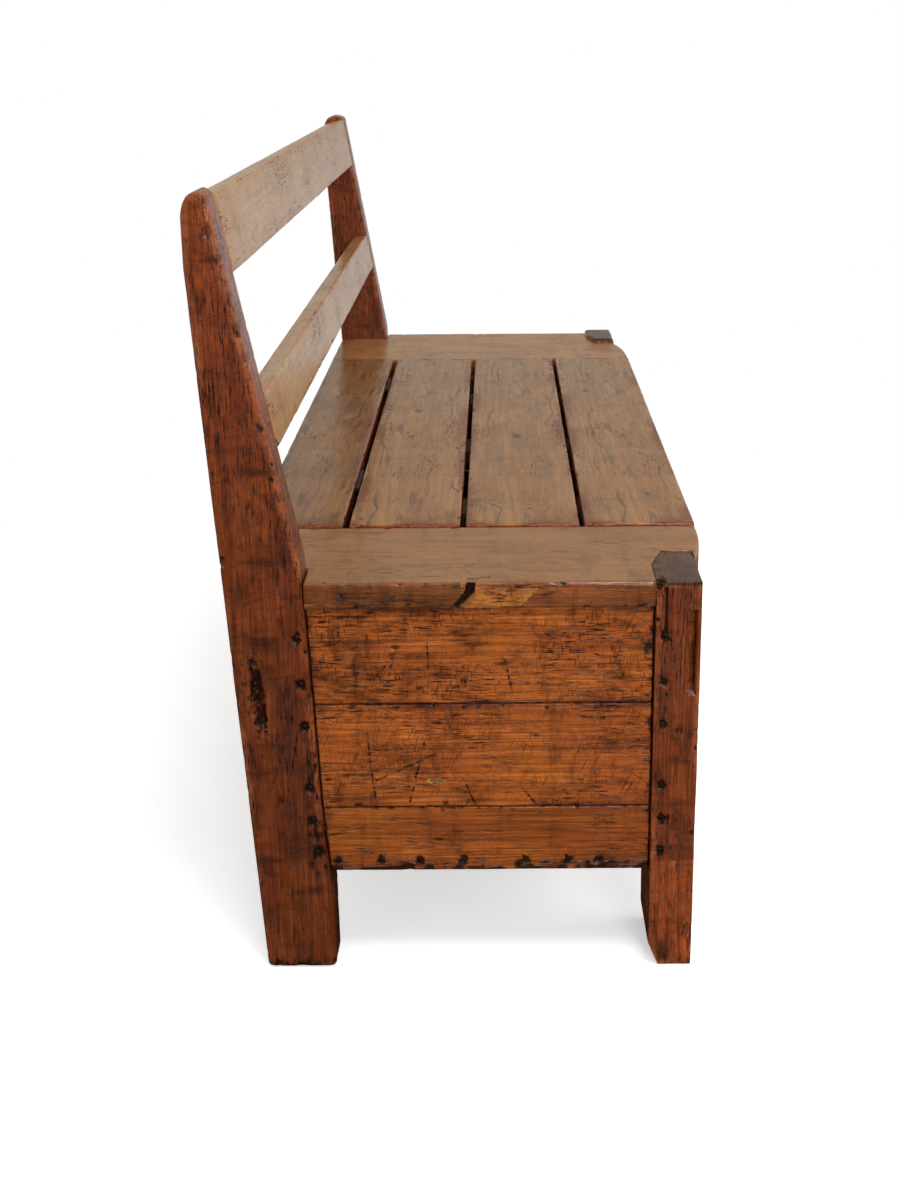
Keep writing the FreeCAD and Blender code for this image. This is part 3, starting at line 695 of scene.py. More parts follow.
# Smudges, each with its middle and half size along Y and Z in mm, and its strength
BACK_POST_SMUDGES = (
    (212, 616, 16, 52, 0.42), (238, 813, 9, 16, 0.35), (205, 520, 24, 30, 0.3), (219, 335, 26, 66, 0.4),
    (160, 254, 16, 50, 0.45), (156, 158, 20, 62, 0.55), (153, 119, 18, 24, 0.45), (178, 323, 18, 34, 0.3),
    (214, 435, 20, 30, 0.3), (195, 85, 26, 40, 0.3))
FRONT_POST_SMUDGES = (
    (-228, 279, 18, 20, 0.5), (-218, 180, 9, 12, 0.45), (-238, 44, 16, 14, 0.5), (-211, 320, 10, 30, 0.4))
END_BOTTOM_SMUDGES = ((135, 160, 34, 14, 0.5), (105, 142, 40, 14, 0.42))
END_SPOTS = {
    "middle": ((56, 245, 6, 5, 1.0), (-28, 213, 8, 6, 0.8), (78, 233, 9, 7, 0.7), (-26, 275, 22, 4, 0.9),
               (-87, 278, 26, 4, 1.0), (-180, 272, 20, 14, 0.8), (-144, 299, 40, 5, 0.9)),
    "top": ((-76, 391, 8, 9, 0.9), (-92, 391, 7, 8, 0.9), (-1, 351, 12, 7, 0.8), (23, 331, 20, 6, 0.8),
            (-71, 338, 30, 6, 0.8), (-150, 386, 50, 5, 0.7), (-150, 352, 44, 7, 0.6),
            (72, 372, 7, 7, 0.9)),
}
# Long scratches over the near end boards, along Y and Z in mm
END_SCRATCHES = {
    "middle": (((100, 283), (98, 244), (93, 201)), ((37, 284), (48, 238), (57, 200)),
               ((92, 226), (61, 241), (29, 257)), ((-3, 221), (-13, 195)), ((-57, 223), (-78, 196))),
    "top": (((127, 404), (126, 387)), ((112, 364), (111, 335)), ((68, 380), (77, 340)),
            ((79, 358), (92, 343)), ((35, 386), (35, 355)), ((-1, 357), (-4, 334)),
            ((-45, 364), (-52, 330))),
}
# Smoke, dashes and scratches in the finish of the end boards, from the bottom up
END_WEAR = {"bottom": (0.35, 0.3, 0.2), "middle": (0.5, 0.6, 0.7), "top": (0.6, 0.9, 0.5)}

# Outline of the chip and path of the crack in the near edge of the seat end, and the bare wood beside it
CHIP_MIDDLE = (-0.004, 0.441)
CHIP = [(-0.0157, 0.454), (-0.0139, 0.4404), (-0.0032, 0.4274), (0.0118, 0.422), (-0.0034, 0.4413),
        (-0.0075, 0.454)]
CRACK = ((-0.5907, -0.0155), (-0.5838, -0.021), (-0.584, -0.0298))
NEAR_FACE = -0.597

# Body of each seat plank, and its knots: X and Y, size in mm and darkness
PLANKS = {
    "lid_plank_front": ("lid", [(0.1642, -0.1741, 9, 0.9), (-0.3296, -0.2169, 8, 0.9)]),
    "lid_plank_middle": ("lid", [(-0.079, -0.0655, 11, 1.0), (-0.2404, -0.0758, 24, 0.0)]),
    "lid_plank_rear": ("lid", [(0.0543, 0.0777, 10, 1.0)]),
    "rear_seat_plank": ("frame", [(0.1314, 0.176, 5, 0.7), (0.0352, 0.1857, 4, 0.6)]),
}
# Middle of the pale swirl on the middle plank
PALE_SWIRL = (-0.235, -0.076)

# Head of a forged nail, the size of its shank and how uneven the hammer left it
HEAD_RADIUS = 4.3 * MM
HEAD_TOP_RADIUS = 2.2 * MM
HEAD_HEIGHT = 2.2 * MM
SHANK = 3.4 * MM
SHANK_LOSS = 5 * MM
HAMMERED = 0.6 * MM


class SETTLE_OT_back_posts(Operator):
    """Two leaning back posts that taper to the top"""
    bl_idname = "settle.back_posts"
    bl_label = "Back posts"

    def execute(self, context):
        wood = wood_settings()
        for index, side in enumerate(SIDES):
            node = "back_post_" + side
            low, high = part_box(node)
            mesh = board(low, high, wood.fine_spacing, 5 * MM, reach=14 * MM)
            fit(mesh, node, Z_AXIS, Y_AXIS, 10 * MM)
            self.round_top(mesh, high)
            outer_x, way = (low.x, X_WAY) if side == "left" else (high.x, -X_WAY)
            mesh.normal_update()
            nail_pits(mesh, "end_nails_" + side, way, outer_x)
            if side == "left":
                self.damage(mesh, low)
                smudges(mesh, low.x, 20 * MM, BACK_POST_SMUDGES, grain_mm=7, ragged=0.5)
            weather(mesh, 11 + index, wood.swell, wood.edge_loss)
            stain(mesh, "tone", self.height_tone, 40, 0.3)
            stain(mesh, "grime_and_shade", lambda place: max(0.0, 0.75 - (place.z - low.z) / (30 * MM)))
            pith = (low.x - 30 * MM, high.y - 40 * MM, 0.0)
            knots = [((low.x, y, z), size, darkness) for y, z, size, darkness in POST_KNOTS]
            material = waxed_pine("waxed_pine_" + node, "z", PINE["post"], pith, ring_mm=5.0, knots=knots,
                                  streak=0.6, stain=0.6, scratch=0.4, contrast=0.5)
            finish_piece("worn_" + node, mesh, material, "frame", "post_pine", node)
        return {"FINISHED"}

    def round_top(self, mesh, high):
        """Lay the rear corner of the top back, as hands have worn it."""
        for vert in mesh.verts:
            share = (vert.co.z - high.z + TOP_WEAR_HEIGHT) / TOP_WEAR_HEIGHT
            behind = (vert.co.y - high.y + TOP_WEAR_RUN) / TOP_WEAR_RUN
            if share > 0 and behind > 0:
                vert.co.y -= TOP_WEAR_DEPTH * share ** 1.6 * behind

    def damage(self, mesh, low):
        """The rotten pocket low on the near post and the notch in its rear edge."""
        pocket = Vector((low.x, POCKET_Y, POCKET_Z))
        for shift_y, shift_z, half_y, half_z in POCKET_HOLLOWS:
            centre = pocket + Vector((0, shift_y * MM, shift_z * MM))
            dent(mesh, centre, (12 * MM, half_y * MM, half_z * MM), 5 * MM, X_WAY, dirt_and_shade=0.85, ragged=0.8)
        dent(mesh, Vector((low.x + 12 * MM, 0.2377, 0.4735)), (22 * MM, 9 * MM, 11 * MM), 4 * MM, -Y_WAY,
             dirt_and_shade=0.6)

    def height_tone(self, place):
        """Paler upwards from the seat, darker downwards towards the floor."""
        if place.z > SEAT_LEVEL:
            return 0.45 * (place.z - SEAT_LEVEL) / BACK_RISE - 0.24
        return -0.08 * (SEAT_LEVEL - place.z) / SEAT_LEVEL - 0.24


class SETTLE_OT_front_posts(Operator):
    """Two front posts that come up through the corners of the seat"""
    bl_idname = "settle.front_posts"
    bl_label = "Front posts"

    def execute(self, context):
        wood = wood_settings()
        for index, side in enumerate(SIDES):
            node = "front_post_" + side
            low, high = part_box(node)
            outer = low.x if side == "left" else high.x
            slot_low = Vector((outer, low.y + SLOT_WALL,
                               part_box("end_board_top_" + side)[0].z + SLOT_OVER_BOARD))
            slot_high = Vector((outer, low.y + SLOT_WALL + SLOT_WIDTH,
                                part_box("front_top_rail")[1].z - SLOT_UNDER_RAIL))
            places = {Y_AXIS: (slot_low.y, slot_high.y),
                      Z_AXIS: (slot_low.z, slot_high.z, high.z - HEAD_WEAR_HEIGHT)}
            rounding = (lambda mesh: self.round_proud_head(mesh, high)) if side == "right" else None
            mesh = board(low, high, wood.fine_spacing, 1.6 * MM, places=places, first=rounding)
            self.cut_slot(mesh, outer, slot_low, slot_high)
            self.wear_head_and_foot(mesh, side, low, high)
            mesh.normal_update()
            way = X_WAY if side == "left" else -X_WAY
            nail_pits(mesh, "end_nails_" + side, way, outer)
            if side == "left":
                self.damage(mesh, outer, high)
            weather(mesh, 21 + index, wood.swell, wood.edge_loss)
            stain(mesh, "tone", lambda place: -0.1 if place.z > 0.13 else 0.4, 30, 0.4)
            edge = stored(mesh, "edge")
            for vert in mesh.verts:
                if vert.co.z > high.z - BARE_TOP:
                    vert[edge] = 0.0
            stain(mesh, "bare", lambda place: 0.95 if place.z > high.z - BARE_TOP else 0.0, 20, 0.1)
            # painted shade: the walls and bottom of the open mortise are set fully dark
            stain(mesh, "grime_and_shade", lambda place: self.slot_shade(place, slot_low, slot_high), 9, 0.1)
            smudges(mesh, outer, 20 * MM, FRONT_POST_SMUDGES, grain_mm=7, ragged=0.6)
            stain(mesh, "bare", lambda place: max(0.0, 0.7 - (place.z - low.z) / (150 * MM)), 16, 0.5)
            pith = (low.x - 20 * MM, low.y - 60 * MM, 0.0)
            material = waxed_pine("waxed_pine_" + node, "z", PINE["post"], pith, ring_mm=4.0, streak=0.6,
                                  stain=0.5, contrast=0.5)
            finish_piece("worn_" + node, mesh, material, "frame", "post_pine", node)
        return {"FINISHED"}

    def round_proud_head(self, mesh, high):
        """Round the edges of the far head, which nothing has broken."""
        top = [edge for edge in mesh.edges
               if all(abs(vert.co.z - high.z) < TOUCH for vert in edge.verts)]
        bmesh.ops.bevel(mesh, geom=top, offset=7 * MM, segments=5, profile=0.5,
                        affect="EDGES", material=-1)

    def cut_slot(self, mesh, outer, slot_low, slot_high):
        """Sink the open mortise into the outer face."""
        inside = []
        for face in mesh.faces:
            centre = face.calc_center_median()
            if (abs(centre.x - outer) < TOUCH and slot_low.y < centre.y < slot_high.y
                    and slot_low.z < centre.z < slot_high.z):
                inside.append(face)
        made = bmesh.ops.extrude_face_region(mesh, geom=inside)["geom"]
        bmesh.ops.delete(mesh, geom=inside, context="FACES")
        moved = [item for item in made if isinstance(item, bmesh.types.BMVert)]
        way = 1 if outer < 0 else -1
        bmesh.ops.translate(mesh, vec=Vector((way * SLOT_DEPTH, 0, 0)), verts=moved)

    def wear_head_and_foot(self, mesh, side, low, high):
        """Lay back the inner rear corner of the head and the rear edge of the foot."""
        inner = high.x if side == "left" else low.x
        base = high.y - 24 * MM
        for vert in mesh.verts:
            limit = high.y
            if vert.co.z > high.z - HEAD_WEAR_HEIGHT + NEAR:
                share = 1 - abs(vert.co.x - inner) / HEAD_WEAR_RUN
                limit -= HEAD_WEAR_DEPTH * max(0.0, share)
            share = 1 - (vert.co.z - low.z) / FOOT_WEAR_HEIGHT
            limit -= FOOT_WEAR_DEPTH * max(0.0, share)
            if vert.co.y > base:
                vert.co.y = base + (vert.co.y - base) * (limit - base) / (high.y - base)

    def damage(self, mesh, outer, high):
        """The split in the end face and the corner that broke off the near head."""
        corner = Vector((outer, high.y, high.z))
        refine(mesh, corner, 22 * MM)
        dent(mesh, corner + Vector((4, -4, 0)) * MM, (12 * MM, 6 * MM, 9 * MM), 6 * MM, -Z_WAY, dirt_and_shade=1.0)
        dent(mesh, corner + Vector((0, -2, -4)) * MM, (9 * MM, 5 * MM, 9 * MM), 4 * MM, X_WAY, dirt_and_shade=1.0)
        split = [Vector((outer, y, z)) for y, z in ((-0.2104, 0.445), (-0.2112, 0.42), (-0.2108, 0.39))]
        for point in split:
            refine(mesh, point, 16 * MM)
        scar(mesh, split, 1.5 * MM, 2 * MM, X_WAY)

    def slot_shade(self, place, slot_low, slot_high):
        """Full painted shade on the walls and the bottom of the open mortise."""
        inside = slot_low.y - NEAR < place.y < slot_high.y + NEAR
        level = slot_low.z - NEAR < place.z < slot_high.z + NEAR
        return 1.0 if inside and level and abs(place.x - slot_low.x) < SLOT_DEPTH + 4 * MM else 0.0


class SETTLE_OT_end_panels(Operator):
    """Three boards between the posts at each end"""
    bl_idname = "settle.end_panels"
    bl_label = "End panels"

    def execute(self, context):
        wood = wood_settings()
        for side in SIDES:
            for index, (level, (smoke, dash, scratch)) in enumerate(END_WEAR.items()):
                node = "end_board_%s_%s" % (level, side)
                low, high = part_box(node)
                near_y, far_y = low.y + TONGUE, high.y - TONGUE
                places = {Y_AXIS: (near_y, near_y + GAP_WIDTH, far_y - GAP_WIDTH, far_y)}
                mesh = board(low, high, wood.fine_spacing, 1.6 * MM, places=places)
                outer_x, way = (low.x, X_WAY) if side == "left" else (high.x, -X_WAY)
                self.sink_borders(mesh, outer_x, way, near_y, far_y)
                fit(mesh, node, Z_AXIS, Y_AXIS, TONGUE + 2 * GAP_WIDTH)
                mesh.normal_update()
                if level == "bottom":
                    nail_pits(mesh, "floor_nails_" + side, way, outer_x)
                    stain(mesh, "grime_and_shade", lambda place: 0.95 - (place.z - low.z) / (20 * MM), 11, 0.7)
                    stain(mesh, "tone", lambda place: -0.26, 50, 0.3)
                if side == "left":
                    self.damage(mesh, level)
                weather(mesh, 31 + index, wood.swell, wood.edge_loss * 0.7)
                self.soil_borders(mesh, low, high, near_y, far_y)
                pith = (low.x - 90 * MM, 0.0, low.z + (index - 0.5) * 60 * MM)
                knots = [((low.x, 0.0685, 0.3787), 5, 0.8)] if level == "top" else ()
                material = waxed_pine(
                    "waxed_pine_" + node, "y", PINE["end"], pith, face="y", ring_mm=3.5, ring_depth=0.55,
                    knots=knots, streak=0.65, stain=smoke, dash=dash, scratch=scratch, contrast=0.5)
                finish_piece("worn_" + node, mesh, material, "frame", "end_board_pine", node)
        return {"FINISHED"}

    def sink_borders(self, mesh, outer_x, way, near_y, far_y):
        """Sink the strips beside the posts, which leaves a gap there, and paint the sunk strips fully dark
        as painted shade.
        """
        grime_and_shade = stored(mesh, "grime_and_shade")
        for vert in mesh.verts:
            if abs(vert.co.x - outer_x) < 3 * MM:
                y = vert.co.y
                if y < near_y + GAP_WIDTH - NEAR or y > far_y - GAP_WIDTH + NEAR:
                    vert.co += way * GAP_DEPTH
                    # painted shade: the sunk strip in the gap is set fully dark
                    vert[grime_and_shade] = 1.0

    def soil_borders(self, mesh, low, high, near_y, far_y):
        """Old dirt along the posts and the joints between the boards."""
        def amount(place):
            from_post = min(place.y - near_y, far_y - place.y)
            from_joint = min(place.z - low.z, high.z - place.z)
            return max(0.0, 0.55 - from_post / (22 * MM), 0.5 - from_joint / (7 * MM))
        stain(mesh, "grime_and_shade", amount, 8, 0.8)

    def damage(self, mesh, level):
        """Dirt, scratches and the small hollows of the near boards."""
        face_x = min(vert.co.x for vert in mesh.verts)
        if level == "bottom":
            smudges(mesh, face_x, 9 * MM, END_BOTTOM_SMUDGES, grain_mm=9, ragged=0.6)
            return
        self.scratches(mesh, level, face_x)
        if level == "middle":
            centre = Vector((face_x, 0.0289, 0.2252))
            refine(mesh, centre, 16 * MM)
            dent(mesh, centre, (6 * MM, 10 * MM, 3.4 * MM), 1.5 * MM, X_WAY, ragged=0.5)
            stain(mesh, "bare",
                  lambda place: 1.0 if self.in_oval(place, centre, 10 * MM, 3.4 * MM) else 0.0, 3, 0.4)
        if level == "top":
            centre = Vector((face_x, -0.193, 0.377))
            dent(mesh, centre, (6 * MM, 8 * MM, 15 * MM), 0.4 * MM, X_WAY, dirt_and_shade=0.75, ragged=0.7)

    def scratches(self, mesh, level, face_x):
        """Long scratches over the near end and the dark spots among them."""
        for line in END_SCRATCHES[level]:
            path = [Vector((face_x, y_mm * MM, z_mm * MM)) for y_mm, z_mm in line]
            for point in path:
                refine(mesh, point, 24 * MM)
            scar(mesh, path, 1.6 * MM, 0.3 * MM, X_WAY, dirt_and_shade=0.66)
        smudges(mesh, face_x, 9 * MM, END_SPOTS[level], grain_mm=6, ragged=0.6, share=0.6)

    def in_oval(self, place, centre, half_y, half_z):
        """Whether a place lies over an oval of the end face."""
        return ((place.y - centre.y) / half_y) ** 2 + ((place.z - centre.z) / half_z) ** 2 < 1


class SETTLE_OT_front_boards(Operator):
    """The top rail of the chest with its tenons, and the two boards below it"""
    bl_idname = "settle.front_boards"
    bl_label = "Front boards"

    def execute(self, context):
        wood = wood_settings()
        for index, node in enumerate(("front_top_rail", "front_middle_board", "front_bottom_board")):
            low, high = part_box(node)
            if node == "front_top_rail":
                mesh = copy_of(node, wood.coarse_spacing)
            else:
                mesh = board(low, high, wood.coarse_spacing, 2 * MM)
            weather(mesh, 41 + index, wood.swell, wood.edge_loss)
            pith = (0.0, low.y - 80 * MM, low.z + index * 40 * MM)
            material = waxed_pine("waxed_pine_" + node, "x", PINE["end"], pith, face="y")
            finish_piece("worn_" + node, mesh, material, "frame", "chest_pine", node)
        return {"FINISHED"}


class SETTLE_OT_back_boards(Operator):
    """Three boards that close the back of the chest"""
    bl_idname = "settle.back_boards"
    bl_label = "Back boards"

    def execute(self, context):
        wood = wood_settings()
        for index, level in enumerate(("bottom", "middle", "top")):
            node = "back_%s_board" % level
            low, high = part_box(node)
            mesh = board(low, high, wood.coarse_spacing, 2 * MM)
            fit(mesh, node, Z_AXIS, Y_AXIS, 9 * MM)
            weather(mesh, 51 + index, wood.swell, wood.edge_loss)
            pith = (0.0, high.y + 80 * MM, low.z + index * 40 * MM)
            material = waxed_pine("waxed_pine_" + node, "x", PINE["end"], pith, face="y")
            finish_piece("worn_" + node, mesh, material, "frame", "chest_pine", node)
        return {"FINISHED"}


class SETTLE_OT_chest_floor(Operator):
    """Floor boards of the chest on their two bearers"""
    bl_idname = "settle.chest_floor"
    bl_label = "Chest floor"

    def execute(self, context):
        wood = wood_settings()
        grains = {"floor_board_front": "x", "floor_board_middle": "x", "floor_board_rear": "x",
                  "floor_bearer_left": "y", "floor_bearer_right": "y"}
        for index, (node, grain) in enumerate(grains.items()):
            low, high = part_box(node)
            mesh = board(low, high, wood.coarse_spacing * 2, 1 * MM)
            weather(mesh, 61 + index, 0.3 * MM, 0.8 * MM)
            material = dry_pine("dry_pine_" + node, grain, (low.x - 0.1, low.y - 0.05, low.z - 0.07))
            finish_piece("sawn_" + node, mesh, material, "frame", "inner_pine", node)
        return {"FINISHED"}


class SETTLE_OT_bearers(Operator):
    """Cross pieces under the joints of the seat, and the battens of the lid"""
    bl_idname = "settle.bearers"
    bl_label = "Bearers and battens"

    def execute(self, context):
        wood = wood_settings()
        bodies = {"seat_bearer_left": "frame", "seat_bearer_right": "frame", "lid_batten_left": "lid",
                  "lid_batten_middle": "lid", "lid_batten_right": "lid"}
        for index, (node, body) in enumerate(bodies.items()):
            low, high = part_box(node)
            mesh = board(low, high, wood.coarse_spacing, 1.5 * MM)
            weather(mesh, 71 + index, 0.3 * MM, 0.8 * MM)
            material = dry_pine("dry_pine_" + node, "y", (low.x - 0.06, low.y, low.z - 0.05))
            finish_piece("sawn_" + node, mesh, material, body, "inner_pine", node)
        return {"FINISHED"}


class SETTLE_OT_seat_ends(Operator):
    """Boards across the ends of the seat, notched round the posts"""
    bl_idname = "settle.seat_ends"
    bl_label = "Seat end boards"

    def execute(self, context):
        wood = wood_settings()
        for index, side in enumerate(SIDES):
            node = "seat_end_board_" + side
            low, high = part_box(node)
            mesh = copy_of(node, wood.fine_spacing)
            if side == "left":
                self.damage(mesh, low, high)
            else:
                stain(mesh, "tone", lambda place: 0.3, 40, 0.2)
            weather(mesh, 81 + index, wood.swell, wood.edge_loss * 0.7)
            pith = (low.x + 40 * MM, 0.0, low.z - 70 * MM)
            material = waxed_pine("waxed_pine_" + node, "y", PINE["seat_end"], pith, ring_mm=5.0,
                                  streak=0.3, stain=0.2, dash=0.2, scratch=0.2, contrast=0.16,
                                  relief_mm=0.25)
            piece = finish_piece("worn_" + node, mesh, material, "frame", "seat_end_pine", node)
            face_pine = waxed_pine("waxed_pine_face_" + node, "y", PINE["seat_face"], pith, face="y",
                                   streak=0.7, scratch=0.2, contrast=0.5)
            second_finish(piece, face_pine, lambda normal: abs(normal.x) > 0.75)
        return {"FINISHED"}

    def damage(self, mesh, low, high):
        """The chip in the near edge, the crack above it and the bare pale patch beside it."""
        middle = Vector((low.x, *CHIP_MIDDLE))
        for reach in (30 * MM, 26 * MM):
            refine(mesh, middle, reach)
        # the broken-out chip is sunk and darkened inside it as painted shade
        carve(mesh, CHIP, (Y_AXIS, Z_AXIS), 11 * MM, X_WAY)
        crack = [Vector((x, y, high.z)) for x, y in ((low.x, -0.0135), *CRACK)]
        refine(mesh, crack[1], 18 * MM)
        scar(mesh, crack, 1.2 * MM, 1.5 * MM, -Z_WAY)
        stain(mesh, "bare", self.pale_patch, 12, 0.3)
        stain(mesh, "tone", lambda place: -0.3 if place.x < NEAR_FACE and place.y > 0.0 else 0.0, 14, 0.4)
        stain(mesh, "grime_and_shade", lambda place: 0.3 if place.x < NEAR_FACE and place.y > 0.0 else 0.0, 9, 0.8)

    def pale_patch(self, place):
        """Fresh wood that shows on the face in front of the chip."""
        end_y = -0.064 - (place.z - 0.4275) * 0.9
        inside = place.x < -0.5965 and end_y < place.y < -0.004 and place.z < 0.4475
        return 0.65 if inside else 0.0


class SETTLE_OT_planks(Operator):
    """The three planks of the lid and the fixed plank behind them"""
    bl_idname = "settle.planks"
    bl_label = "Seat planks"

    def execute(self, context):
        wood = wood_settings()
        for index, (node, (body, spots)) in enumerate(PLANKS.items()):
            low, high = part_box(node)
            mesh = board(low, high, wood.fine_spacing * 1.2, 2.6 * MM, reach=24 * MM)
            weather(mesh, 91 + index, wood.swell, wood.edge_loss * 0.8)
            if node == "rear_seat_plank":
                stain(mesh, "tone", lambda place: -0.22, 60, 0.5)
            if node == "lid_plank_middle":
                pale = Vector((*PALE_SWIRL, high.z))
                stain(mesh, "bare",
                      lambda place: max(0.0, 0.6 - (place - pale).length / (40 * MM)), 20, 0.3)
            knots = [((x, y, high.z), size, darkness) for x, y, size, darkness in spots]
            pith = (0.0, (low.y + high.y) / 2 + (index - 1) * 12 * MM, low.z - 60 * MM)
            material = waxed_pine("waxed_pine_" + node, "x", PINE["seat"], pith, ring_mm=4.2,
                                  ring_depth=1.0, warp_mm=12.0, knots=knots, streak=0.5, stain=0.12,
                                  dash=0.15, scratch=0.12, contrast=0.18, relief_mm=0.22,
                                  wax_roughness=0.13)
            piece = finish_piece("worn_" + node, mesh, material, body, "seat_plank_pine", node)
            side_pine = waxed_pine("waxed_pine_side_" + node, "x", PINE["post"], pith, face="y")
            second_finish(piece, side_pine, lambda normal: abs(normal.z) < 0.6)
        return {"FINISHED"}


class SETTLE_OT_back_rails(Operator):
    """Two rails between the back posts, laid against their sloping front edges"""
    bl_idname = "settle.back_rails"
    bl_label = "Back rails"

    def execute(self, context):
        wood = wood_settings()
        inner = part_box("back_post_right")[0].x
        foot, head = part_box("middle_back_rail")[1].z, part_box("top_back_rail")[0].z
        fronts = {side: [section("back_post_" + side, Z_AXIS, z, Y_AXIS)[0] for z in (foot, head)]
                  for side in SIDES}
        slope = Matrix.Rotation(-math.atan2(fronts["left"][1] - fronts["left"][0], head - foot), 4, "X")
        twist = [fronts["right"][end] - fronts["left"][end] for end in (0, 1)]
        for index, node in enumerate(("middle_back_rail", "top_back_rail")):
            shoulder = [slope.inverted() @ vert.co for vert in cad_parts[node].data.vertices
                        if abs(vert.co.x + inner) < NEAR]
            low, high = corners(shoulder)
            low.x, high.x = -inner, inner
            mesh = board(low, high, wood.fine_spacing * 1.2, wood.edge_round)
            weather(mesh, 101 + index, wood.swell, wood.edge_loss * 0.8)
            bmesh.ops.transform(mesh, matrix=slope, verts=mesh.verts)
            for vert in mesh.verts:
                rise = (vert.co.z - foot) / (head - foot)
                share = (vert.co.x + inner) / (2 * inner)
                vert.co.y += share * (twist[0] + (twist[1] - twist[0]) * rise)
            place = slope @ ((low + high) / 2)
            pith = (0.0, place.y + 60 * MM, place.z - 20 * MM)
            material = waxed_pine("waxed_pine_" + node, "x", PINE["rail"], pith, face="y", ring_mm=4.0,
                                  streak=0.25, stain=0.25, dash=0.1, scratch=0.2, contrast=0.16,
                                  relief_mm=0.25)
            finish_piece("worn_" + node, mesh, material, "frame", "rail_pine", node)
        return {"FINISHED"}


class SETTLE_OT_ironwork(Operator):
    """Wrought nails, and the finish of the hinges and pegs"""
    bl_idname = "settle.ironwork"
    bl_label = "Ironwork"

    def execute(self, context):
        iron = forged_iron("forged_iron")
        ways = {"end_nails_left": -X_WAY, "end_nails_right": X_WAY, "floor_nails_left": -X_WAY,
                "floor_nails_right": X_WAY, "back_board_nails": Y_WAY}
        for node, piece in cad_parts.items():
            if node in ways:
                finish_piece("forged_" + node, self.forge(node, ways[node]), iron, "frame", "iron", node)
            elif node.startswith("hinge_") or "nails" in node:
                piece.data.materials.clear()
                piece.data.materials.append(iron)
        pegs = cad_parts["back_rail_pegs"]
        pegs.data.materials.clear()
        pegs.data.materials.append(waxed_pine("waxed_pine_pegs", "y", PINE["post"], (0, 0, 0.7)))
        return {"FINISHED"}

    def forge(self, node, way):
        """Square shanks under hammered heads, each a little different and sunk in its pit."""
        mesh = bmesh.new()
        for low, high in islands(node):
            middle = (low + high) / 2
            length = abs((high - low).dot(way))
            outside = middle + way * (length / 2 - NAIL_SINK)
            turn = way.to_track_quat("Z", "Y").to_matrix().to_4x4()
            place = Matrix.Translation(outside - way * HEAD_HEIGHT / 2) @ turn
            head = bmesh.ops.create_cone(mesh, cap_ends=True, segments=9, radius1=HEAD_RADIUS,
                                         radius2=HEAD_TOP_RADIUS, depth=HEAD_HEIGHT, matrix=place)["verts"]
            bmesh.ops.bevel(mesh, geom=list({edge for vert in head for edge in vert.link_edges}),
                            offset=0.5 * MM, segments=2, profile=0.5, affect="EDGES", material=-1)
            shank = Vector([SHANK] * 3)
            shank += Vector([abs(part) for part in way]) * (length - SHANK_LOSS - SHANK)
            centre = outside - way * (length / 2)
            cube = bmesh.ops.create_cube(mesh, size=1.0)["verts"]
            bmesh.ops.scale(mesh, vec=shank, verts=cube)
            bmesh.ops.translate(mesh, vec=centre, verts=cube)
        for vert in mesh.verts:
            push = Vector([noise.noise(vert.co / (2.6 * MM) + Vector((shift, 0, 0)))
                           for shift in (3, 11, 27)])
            push -= way * push.dot(way) * 0.5
            vert.co += push * HAMMERED
        low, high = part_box(node)
        for vert in mesh.verts:
            vert.co.x = min(max(vert.co.x, low.x + NEAR), high.x - NEAR)
        return mesh


WHITE = (1, 1, 1, 1)
FLOOR_HALF = 30.0
# Place, size and share of the power of each lamp, and the point they look at
LAMPS = {
    "top": ((-1.5, -0.5, 3.0), 0.6, 0.8),
    "near": ((-3.4, -0.9, 1.5), 1.0, 1.0),
    "side": ((-0.5, -3.2, 1.8), 1.6, 1.1),
}
LAMP_AIM = Vector((-0.3, 0.0, 0.4))
# Where the photograph was taken from, with its turns in radians and its optics in millimetres
CAMERA_PLACE = (-1.92647, -0.03944, 0.99799)
CAMERA_YAW, CAMERA_PITCH, CAMERA_ROLL = 0.00165, 0.26057, -0.00647
CAMERA_SENSOR = 36.0
CAMERA_LENS = 42.0
CAMERA_SHIFT = (-50 / 1200, -200 / 1200)


